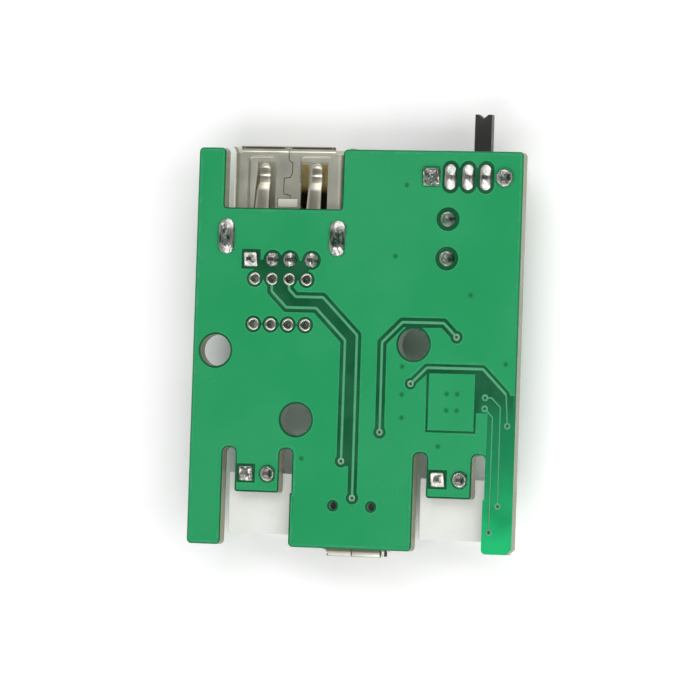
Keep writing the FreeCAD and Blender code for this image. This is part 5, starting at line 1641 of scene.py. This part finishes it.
@dataclass(frozen=True)
class ConeJoint(Joint):
    """A fillet up to a pin, with folds that run down to the pad's edge.

    Attributes:
        rise: Height at the pin.
        darkened: How much painted shade lies at its right.
        flare: How steep it is near the pin.
        tilt: How much higher its far side is, which turns its face to the light.
        core: How far from the middle the film reaches.
        top: The most that it stands over the copper.
        foot_rise: Height of its foot.
        spread: How far from the pin it already is half as high.
        fold_depth: Depth of its folds.
        fold_turns: How quickly they follow on each other around it.
        fold_step: How far apart the seeds lie in their noise.
        lump_gain: How much higher its lumps and facets are than a flat joint's.
        slit_film: Share of film in the slit over the pin.
        right_from: Where the painted shade at its right starts and over how much it darkens.
        right_ends: How much less painted shade its far and near sides have.
        right_shade_offset: Painted shade at its right that the clouds have to make up for.
        fold_film: How quickly film fills a fold.
        fold_reach: How far from the middle a fold's film reaches.
        core_fade: Over how much the film ends.
    """

    rise: float = 0.42
    darkened: float = 0.7
    flare: float = 1.7
    tilt: float = 0.0
    core: float = 1.2
    top: float = 0.81
    foot_rise: float = 0.05
    spread: float = 0.6
    fold_depth: float = 0.8
    fold_turns: float = 1.9
    fold_step: float = 1.3
    lump_gain: Point = (2.0, 2.5)
    slit_film: float = 0.95
    right_from: Point = (0.05, 0.4)
    right_ends: float = 0.8
    right_shade_offset: float = 0.15
    fold_film: float = 9.0
    fold_reach: float = 1.15
    core_fade: float = 0.2

    def _fold(self, u: float, v: float) -> float:
        """Depth of the folds that run from the pin to the pad's edge."""
        place = Vector((math.atan2(v, u) * self.fold_turns, self.seed * self.fold_step, 0.0))
        return self.ragged * max(0.0, noise.noise(place))

    def height(self, share: float, u: float, v: float) -> float:
        """Height of the fillet.

        Args:
            share: 0 at the pad's edge and 1 in the middle.
            u: Place across the pad.
            v: Place along the pad.

        Returns:
            The height over the copper.
        """
        steep = share ** self.flare
        # The last term keeps the pad's edge from dividing by nothing.
        climb = steep / (steep + (1 - share) * self.spread + 1e-6)
        lumps = self.lump_gain[0] * self._lumps(u, v) + self.lump_gain[1] * self._facet(u, v)
        face = self.foot_rise + lumps - self.fold_depth * self._fold(u, v) * share + self.tilt * (v + 1) / 2
        return min(self.top, self.rise * climb + face * self._edge(share))

    def darkening(self, u: float, v: float) -> float:
        """Dark film in the slit and in the folds, and painted shade at the right.

        Args:
            u: Place across the pad.
            v: Place along the pad.

        Returns:
            The share of film.
        """
        out = math.hypot(u, v)
        slit = self.slit_film * self._slit(u, v)
        # Painted shade on the joint's right side.
        side = clamped((u - self.right_from[0]) / self.right_from[1]) * (1 - self.right_ends * abs(v))
        right = side * (self.darkened - self.right_shade_offset + self._cloud(u, v))
        fold = self.fold_film * self._fold(u, v) * min(1.0, self.fold_reach - out)
        inside = clamped((self.core - out) / self.core_fade)
        return inside * max(slit, right, min(self.darkest, fold))


@dataclass
class SolderWork(SubAssembly):
    """Every solder joint of the solder face, with half widths and half lengths of its pads."""

    pin_pad: float = 0.825
    usb_pins: tuple[float, ...] = (-12.2, -9.7, -7.7, -5.2)
    usb_pin_y: float = 9.65
    leg_x: Point = (-15.1, -2.3)
    leg_y: float = 12.12
    leg_pad: Point = (0.97, 2.0)
    header_middles: Point = (-10.7, 11.3)
    header_pitch: float = 2.5
    header_y: float = -13.95
    header_grown: float = 0.06
    switch_x: float = 12.4
    switch_y: float = 19.05
    switch_pitch: float = 2.0
    switch_pad: Point = (0.68, 1.42)
    switch_leg_reach: float = 4.13
    switch_leg_pad: float = 1.0
    coil_x: float = 10.25
    coil_y: Point = (14.45, 10.15)
    coil_pad: float = 0.875
    # Height of the lumps of smooth and of scratched solder.
    smooth: float = 0.025
    scratched: float = 0.08

    def build(self) -> None:
        """Makes the joints, one piece for each CAD node."""
        self._output_socket()
        for side, middle, seed in zip(("left", "right"), self.header_middles, (31, 41)):
            self._header(side, middle, seed)
        self._switch()
        coils = [ConeJoint(self.coil_x, y, self.coil_pad, self.coil_pad, seed=71 + i, lumpy=0.05,
                           ragged=0.06, rise=0.62, darkened=0.85, flare=2.2, tilt=0.3)
                 for i, y in enumerate(self.coil_y)]
        self._group("coil_joints", "inductor_solder", coils, "dull_solder", outlined=False)

    def _output_socket(self) -> None:
        """Makes the output socket's joints: a square first pin, round ones, and the shell's legs."""
        pad, y = self.pin_pad, self.usb_pin_y
        first, *others = self.usb_pins
        pins = [FlatJoint(first, y, pad, pad, seed=11, lumpy=self.smooth / 4, square=True)]
        pins += [ConeJoint(x, y, pad, pad, seed=12 + i, lumpy=self.smooth, ragged=0.25, rise=0.231,
                           darkened=0.75) for i, x in enumerate(others)]
        self._group("output_socket_pin_joints", "usb_a_pin_solder", pins, outlined=False)
        legs = [LegJoint(x, self.leg_y, *self.leg_pad, seed=21 + i, lumpy=0.09, ragged=0.16, darkened=darkened)
                for i, (x, darkened) in enumerate(zip(self.leg_x, (0.35, 0.85)))]
        self._group("output_socket_leg_joints", "usb_a_leg_solder", legs)

    def _header(self, side: str, middle: float, seed: int) -> None:
        """Makes the two joints of a battery header, of which the left header's first is scratched.

        Args:
            side: Which header it is.
            middle: Its middle across the board.
            seed: Seed of its first joint.
        """
        half, y, pad = self.header_pitch / 2, self.header_y, self.pin_pad
        grown = pad + self.header_grown
        worn = side == "left"
        lumpy = self.scratched if worn else self.smooth
        joints = [FlatJoint(middle - half, y, pad, pad, seed=seed, lumpy=lumpy, square=True, patchy=worn),
                  ConeJoint(middle + half, y, grown, grown, seed=seed + 1, lumpy=self.smooth, ragged=0.1,
                            rise=0.294, darkened=1.15, flare=2.8, tilt=0.5, core=0.85)]
        self._group("battery_joints_" + side, "battery_header_" + side + "_solder", joints)

    def _switch(self) -> None:
        """Makes the switch's joints: three terminals, a scratched square leg and a round one."""
        x, y, pad = self.switch_x, self.switch_y, self.switch_leg_pad
        terminals = [LobeJoint(x + i * self.switch_pitch, y, *self.switch_pad, seed=51 + i,
                               lumpy=self.smooth / 2) for i in (-1, 0, 1)]
        self._group("switch_terminal_joints", "switch_terminal_solder", terminals, outlined=False)
        reach = self.switch_leg_reach
        legs = [ConeJoint(x - reach, y, pad, pad, seed=61, lumpy=self.scratched, square=True, patchy=True,
                          rise=0.5, darkened=-0.2, flare=3.2, tilt=0.6),
                ConeJoint(x + reach, y, pad, pad, seed=62, lumpy=0.03, ragged=0.05, rise=0.5, darkened=1.0,
                          flare=3.6, tilt=0.6, core=0.9)]
        self._group("switch_leg_joints", "switch_leg_solder", legs)

    def _group(self, name: str, node: str, joints: Sequence[Joint], finish: str = "solder",
               outlined: bool = True) -> None:
        """Makes one group of joints and puts it in place of its CAD node.

        Args:
            name: The piece's name.
            node: The CAD node that it replaces.
            joints: Its joints.
            finish: The solder's finish.
            outlined: Whether the mask's opening shows a dark edge around each.
        """
        mesh = joined([joint.mesh(self.frame, outlined) for joint in joints])
        finishes = [finish, "mask_shadow"] if outlined else [finish]
        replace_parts(piece_from_mesh(name, mesh, finishes), node)


# Sockets


@dataclass
class OutputSocket(SubAssembly):
    """Type A shell with curled springs in place of its straight ones, and its folded lip."""

    middle: float = -8.7
    face: float = -1.65
    sheet: float = 0.14
    spring_root: float = 14.0
    # The room from which a straight spring is taken: half width, depth, and its start before the root.
    spring_room: float = 1.0
    spring_depth: float = 0.95
    root_gap: float = 0.01
    spring_reach: float = 3.0
    spring_shift: float = -0.12
    spring_lean: float = 0.22
    # How far the springs' edges lie under their middle.
    spring_crown: float = 0.07
    spring_widths: Point = (1.7, 1.26)
    lip_half: float = 5.43
    seam_half: float = 0.05
    # Levels and lines are heights over the shell's face. Spans and lines run along the board.
    shade_span: Point = (16.7, 21.6)
    shade_level: float = -0.34
    shade_width: float = 1.5
    # How much wider the strip of shell under the seam's shade is, and how far under it that lies.
    cover_more: float = 0.04
    cover_gap: float = 0.01
    liner_span: Point = (14.2, 20.55)
    liner_level: float = -0.02
    liner_left: float = -13.3
    liner_widths: Point = (0.55, 0.98)
    # Width, height and corner radius of the pressed frames.
    frame_size: tuple[float, float, float] = (0.26, 0.07, 0.45)
    spring_line: list[Point] = field(default_factory=lambda: [
        (13.98, 0.0), (14.6, -0.03), (16.2, -0.08), (17.3, -0.12), (17.6, -0.15), (17.74, -0.19),
        (17.9, -0.245), (18.04, -0.295), (18.12, -0.33), (18.3, -0.355), (18.6, -0.375), (18.86, -0.385),
        (18.94, -0.38), (19.0, -0.36), (19.1, -0.325), (19.16, -0.31), (19.4, -0.295), (19.8, -0.285),
        (19.9, -0.295), (20.0, -0.32), (20.1, -0.355), (20.2, -0.4), (20.3, -0.46), (20.36, -0.51),
        (20.4, -0.56)])
    lip_line: list[Point] = field(default_factory=lambda: [
        (21.2, 0.0), (21.36, 0.05), (21.5, 0.13), (21.56, 0.16), (21.62, 0.185), (21.68, 0.2), (21.8, 0.27),
        (21.92, 0.345), (21.95, 0.3), (22.06, 0.37), (22.1, 0.47), (22.15, 0.5), (22.2, 0.47)])
    # Which slot each step of the lip wears.
    lip_wear: tuple[int, ...] = (1, 1, 1, 0, 0, 1, 1, 2, 2, 2, 1, 0)
    # The corners of the pressed frames.
    frames: list[list[Point]] = field(default_factory=lambda: [
        [(-13.33, 15.4), (-13.33, 21.06), (-10.5, 21.06)],
        [(-7.36, 18.2), (-7.36, 21.1), (-3.9, 21.1)]])

    def build(self) -> None:
        """Makes the springs, shell, lip, slot liner, seam shade and pressed frames."""
        springs = [self._strip(self.spring_line, self.middle + side * self.spring_reach + self.spring_shift,
                               self.spring_widths, across=10, lean=self.spring_lean,
                               crown=self.spring_crown, tip=self.spring_widths[1] / 2) for side in (-1, 1)]
        piece_from_mesh("output_socket_springs", joined(springs), ["spring_steel"])
        shell_without(self.nodes, "usb_a_shell", "output_socket_shell", self._in_spring)
        width = self.lip_half - self.seam_half
        reach = width / 2 + self.seam_half
        lips = [self._strip(self.lip_line, self.middle + side * reach, (width, width), across=8,
                            wear=self.lip_wear) for side in (-1, 1)]
        piece_from_mesh("output_socket_lip", joined(lips), ["spring_steel", "dull_steel", "steel_shadow"])
        root, tip = self.liner_widths
        liner = self._strip([(y, self.liner_level) for y in self.liner_span], self.liner_left + root / 2,
                            self.liner_widths, across=2, lean=(tip - root) / 2)
        piece_from_mesh("output_socket_slot_liner", liner, [SHELL])
        covers = ((self.shade_level, self.shade_width),
                  (self.shade_level - self.sheet - self.cover_gap, self.shade_width + self.cover_more))
        shades = [self._strip([(y, level) for y in self.shade_span], self.middle, (width, width),
                              across=2, wear=(slot,)) for slot, (level, width) in enumerate(covers)]
        piece_from_mesh("output_socket_seam_shade", joined(shades), ["steel_shadow", SHELL])
        paths = [[self.frame.at(x, y, self.face) for x, y in path] for path in self.frames]
        frames = SweepTree("pressed_frame", "spring_steel").along(paths, *self.frame_size)
        piece_from_mesh("output_socket_frames", frames, ["spring_steel"])

    def _in_spring(self, place: Vector) -> bool:
        """Whether a corner of the shell belongs to a straight upper spring.

        Args:
            place: The corner.

        Returns:
            Whether it does.
        """
        start = self.frame.at(0, self.spring_root - self.root_gap, self.face)
        near = any(abs(place.x - self.frame.at(self.middle + side * self.spring_reach, 0).x)
                   < self.spring_room * MM for side in (-1, 1))
        return place.y > start.y and abs(place.z - start.z) < self.spring_depth * MM and near

    def _strip(self, line: Sequence[Point], x: float, widths: Point, across: int,
               **more: object) -> bpy.types.Mesh:
        """A strip of the shell's sheet whose line is measured from the shell's face."""
        return Strip(line, x, widths, across, self.sheet, base=self.face, **more).mesh(self.frame)


@dataclass
class InputSocket(SubAssembly):
    """Micro B shell with a flared upper lip in two halves and one small side lip."""

    left: float = -2.95
    # How much the lip's left half narrows towards its tip.
    slant: float = 0.46
    right: float = 3.36
    seam: float = 0.12
    seam_half: float = 0.06
    sheet: float = 0.1
    middle: float = 0.35
    # Where the long side lips start, which are taken out: from the middle and along the board.
    side_room: float = 3.3
    front: float = -21.87
    # The small side lip: its middle, width, height, depth and places along the board.
    side_x: float = 3.88
    side_width: float = 0.22
    side_level: float = -1.55
    side_drop: float = 0.4
    side_span: tuple[float, ...] = (-21.88, -22.25, -22.6)
    # The upper lip's places along the board with their heights, and the slot that each step wears.
    line: list[Point] = field(default_factory=lambda: [
        (-21.88, -1.2), (-22.0, -1.15), (-22.2, -1.14), (-22.5, -1.175), (-22.58, -1.2), (-22.66, -1.225),
        (-22.7, -1.25)])
    wear: tuple[int, ...] = (1, 1, 0, 0, 0, 0)

    def build(self) -> None:
        """Puts the shell in place and makes the lip's two halves and its one side."""
        shell_without(self.nodes, "micro_usb_shell", "input_socket_shell", self._in_side_lip)
        halves = []
        for low, high, slant in ((self.left, self.seam - self.seam_half, self.slant),
                                 (self.seam + self.seam_half, self.right, 0.0)):
            widths = (high - low, high - low - slant)
            halves.append(Strip(self.line, (low + high) / 2, widths, across=6, sheet=self.sheet,
                                wear=self.wear, lean=slant / 2).mesh(self.frame))
        piece_from_mesh("input_socket_lip", joined(halves), [SHELL, "dull_steel"])
        side = Strip([(y, self.side_level) for y in self.side_span], self.side_x,
                     (self.side_width, self.side_width), across=2, sheet=self.side_drop)
        piece_from_mesh("input_socket_side_lip", side.mesh(self.frame), ["steel_shadow"])

    def _in_side_lip(self, place: Vector) -> bool:
        """Whether a corner of the shell belongs to a long side lip."""
        start = self.frame.at(self.middle, self.front)
        return place.y < start.y and abs(place.x - start.x) > self.side_room * MM


# Dressing of the carried-over solids


CHIPS = ("charge_controller", "boost_converter", "power_management_chip", "battery_protection_switch",
         "battery_protection_chip")
WORN_BY: dict[str, tuple[str, ...]] = {
    "bright_tin": ("surface_pads", "chip_capacitor_ends", "chip_resistor_ends", "status_light_ends"),
    "contact_brass": ("usb_a_contacts", "micro_usb_contacts", "switch_contact_clip"),
    "socket_plastic": ("usb_a_insulator",),
    "black_plastic": ("micro_usb_insulator", "switch_slider", "output_capacitor_base"),
    "white_plastic": ("battery_header_left", "battery_header_right"),
    "pin_tin": ("battery_header_left_pins", "battery_header_right_pins", "switch_terminals",
                "inductor_pins"),
    "switch_board": ("switch_base",),
    SHELL: ("switch_bracket",),
    "ferrite": ("inductor_core",),
    "copper_wire": ("inductor_winding",),
    "chip_resin": ("rectifier_diode", *CHIPS),
    "chip_lead": ("rectifier_diode_terminals", "output_capacitor_leads",
                  *(chip + "_leads" for chip in CHIPS)),
    "can_aluminium": ("output_capacitor_can",),
    "capacitor_ceramic": ("chip_capacitors",),
    "resistor_ceramic": ("chip_resistors",),
    "light_base": ("status_light_bases",),
    "light_lens": ("status_light_lenses",)}


def dress(node: bpy.types.Object, finish: str) -> None:
    """Puts one finish in every material slot of a CAD node.

    Args:
        node: The node's object.
        finish: The finish's name.
    """
    material = PALETTE.get(finish)
    if not node.material_slots:
        node.data.materials.append(material)
    for slot in node.material_slots:
        slot.material = material
    LOG.info("%s wears %s", node.name, finish)


def dress_solids(nodes: dict[str, bpy.types.Object]) -> None:
    """Gives each carried-over solid its finish.

    Args:
        nodes: The CAD nodes by name.
    """
    for finish, wearers in WORN_BY.items():
        for wearer in wearers:
            dress(nodes[wearer], finish)


# Studio


@dataclass(frozen=True)
class Lamp:
    """A soft lamp that looks at the board's middle.

    Attributes:
        name: Its name.
        place: Its place in millimetres from the board's middle.
        size: Its width and height in millimetres.
        power: Its power in watts.
        mirrored: Whether metal shows it.
    """

    name: str
    place: tuple[float, float, float]
    size: Point
    power: float
    mirrored: bool = True

    def hang(self, frame: BoardFrame) -> None:
        """Hangs the lamp.

        Args:
            frame: The board's coordinates.
        """
        data = bpy.data.lights.new(self.name, "AREA")
        data.energy = self.power
        data.shape = "RECTANGLE"
        data.size, data.size_y = (edge * MM for edge in self.size)
        lamp = bpy.data.objects.new(self.name, data)
        lamp.visible_glossy = self.mirrored
        bpy.context.scene.collection.objects.link(lamp)
        spot = frame.at(*self.place)
        turn = (frame.at(0, 0) - spot).to_track_quat("-Z", "Y").to_matrix().to_4x4()
        turn.translation = spot
        lamp.matrix_world = turn


@dataclass
class Studio:
    """Camera, pale floor and soft light, with angles in degrees."""

    frame: BoardFrame
    # How far the camera looks from the right and from the front of the board's normal, and its roll.
    yaw: float = 17.3
    pitch: float = 1.2
    roll: float = 1.92
    # Its distance from the board's point that it looks at, and its lens, in millimetres.
    distance: float = 560.0
    target: Point = (-0.43, -0.10)
    lens: float = 262.9
    sensor: float = 36.0
    # Nearest and farthest distance that it sees, and the floor's width, in metres.
    sight: Point = (0.01, 50.0)
    floor_size: float = 4.0
    # Level of the floor as light and shadow meet it, and where it is seen.
    floor_tone: float = 0.9
    floor_seen: float = 1.13
    # Strength of the even light.
    sky: float = 0.32
    # Level of the dark hood that flat metal mirrors, and where it ends and is full, as the cosine of
    # the angle to the mirrored camera's direction.
    hood: float = 0.06
    hood_edge: Point = (0.88, 0.98)
    # Levels of the walls that metal mirrors, and between which directions across they meet.
    left_wall: float = 0.6
    right_wall: float = 0.14
    wall_edge: Point = (-0.35, 0.45)
    lamps: tuple[Lamp, ...] = (
        Lamp("front_lamp", (50.0, 340.0, 500.0), (560.0, 380.0), 1.1),
        Lamp("rear_lamp", (50.0, -340.0, 500.0), (560.0, 380.0), 1.5),
        Lamp("right_lamp", (470.0, 0.0, 390.0), (480.0, 400.0), 1.5, mirrored=False))

    def build(self) -> None:
        """Sets up the studio."""
        self._camera()
        self._floor()
        self._world()
        for lamp in self.lamps:
            lamp.hang(self.frame)

    def _axes(self) -> tuple[Vector, Vector, Vector]:
        """Works out how the camera is turned.

        Returns:
            Its right, up and back directions.
        """
        yaw, pitch, roll = (math.radians(a) for a in (self.yaw, self.pitch, self.roll))
        back = Vector((math.sin(yaw) * math.cos(pitch), -math.sin(pitch), math.cos(yaw) * math.cos(pitch)))
        right = Vector((0, 1, 0)).cross(back).normalized()
        up = back.cross(right)
        c, s = math.cos(roll), math.sin(roll)
        return right * c + up * s, up * c - right * s, back

    def _camera(self) -> None:
        """Places the camera at the photograph's viewing angle."""
        data = bpy.data.cameras.new("photo_camera")
        data.lens = self.lens
        data.sensor_width = self.sensor
        data.clip_start, data.clip_end = self.sight
        camera = bpy.data.objects.new("photo_camera", data)
        bpy.context.scene.collection.objects.link(camera)
        axes = self._axes()
        place = Matrix(axes).transposed().to_4x4()
        place.translation = self.frame.at(*self.target) + axes[2] * self.distance * MM
        camera.matrix_world = place
        bpy.context.scene.camera = camera

    def _floor(self) -> None:
        """Lays the pale floor, which keeps the shadow and shows white to the camera."""
        mesh = bpy.data.meshes.new("floor")
        half = self.floor_size / 2
        mesh.from_pydata([(-half, -half, 0), (half, -half, 0), (half, half, 0), (-half, half, 0)], [],
                         [(0, 1, 2, 3)])
        floor = bpy.data.objects.new("floor", mesh)
        bpy.context.scene.collection.objects.link(floor)
        material = bpy.data.materials.new("pale_floor")
        nodes = Nodes.emptied(material)
        path = nodes.add("ShaderNodeLightPath").outputs
        mirrored = nodes.math("MAXIMUM", path["Is Glossy Ray"], path["Is Transmission Ray"])
        seen = nodes.math("MAXIMUM", path["Is Camera Ray"], mirrored)
        tone = nodes.blend(seen, grey(self.floor_tone), grey(self.floor_seen))
        cloth = nodes.add("ShaderNodeBsdfDiffuse", {"Color": tone})
        nodes.add("ShaderNodeOutputMaterial", {0: cloth.outputs[0]})
        mesh.materials.append(material)

    def _world(self) -> None:
        """Lights the object evenly, shows white where the background is seen, and gives metal its walls."""
        world = bpy.data.worlds.new("soft_sky")
        bpy.context.scene.world = world
        nodes = Nodes.emptied(world)
        light = nodes.add("ShaderNodeBackground", {"Color": WHITE, "Strength": self.sky})
        white = nodes.add("ShaderNodeBackground", {"Color": WHITE})
        around = nodes.add("ShaderNodeTexCoord").outputs["Generated"]
        back = self._axes()[2]
        # A level face mirrors the camera in this direction.
        feeds = {0: around, 1: (-back.x, -back.y, back.z)}
        toward = nodes.add("ShaderNodeVectorMath", feeds, operation="DOT_PRODUCT").outputs["Value"]
        across = nodes.ramp(nodes.parts(around)["X"], *self.wall_edge)
        walls = nodes.blend(across, grey(self.left_wall), grey(self.right_wall))
        tone = nodes.blend(nodes.ramp(toward, *self.hood_edge), walls, grey(self.hood))
        mirrored = nodes.add("ShaderNodeBackground", {"Color": tone})
        path = nodes.add("ShaderNodeLightPath").outputs
        seen = nodes.math("MAXIMUM", path["Is Camera Ray"], path["Is Transmission Ray"])
        plain = nodes.add("ShaderNodeMixShader", {0: seen, 1: light.outputs[0], 2: white.outputs[0]})
        whole = nodes.add("ShaderNodeMixShader", {
            0: path["Is Glossy Ray"], 1: plain.outputs[0], 2: mirrored.outputs[0]})
        nodes.add("ShaderNodeOutputWorld", {0: whole.outputs[0]})


def main() -> None:
    """Dresses the module and sets up the studio."""
    logging.basicConfig(level=logging.INFO, format="%(name)s: %(message)s")
    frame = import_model()
    board_frame, nodes = BoardFrame(), frame["nodes"]
    dress_solids(nodes)
    for kind in (Board, PlatedHoles, SolderWork, OutputSocket, InputSocket):
        kind(board_frame, nodes).build()
        LOG.info("%s is built", kind.__name__)
    Studio(board_frame).build()
    bpy.context.scene.view_settings.view_transform = "Standard"


if __name__ == "__main__":
    main()
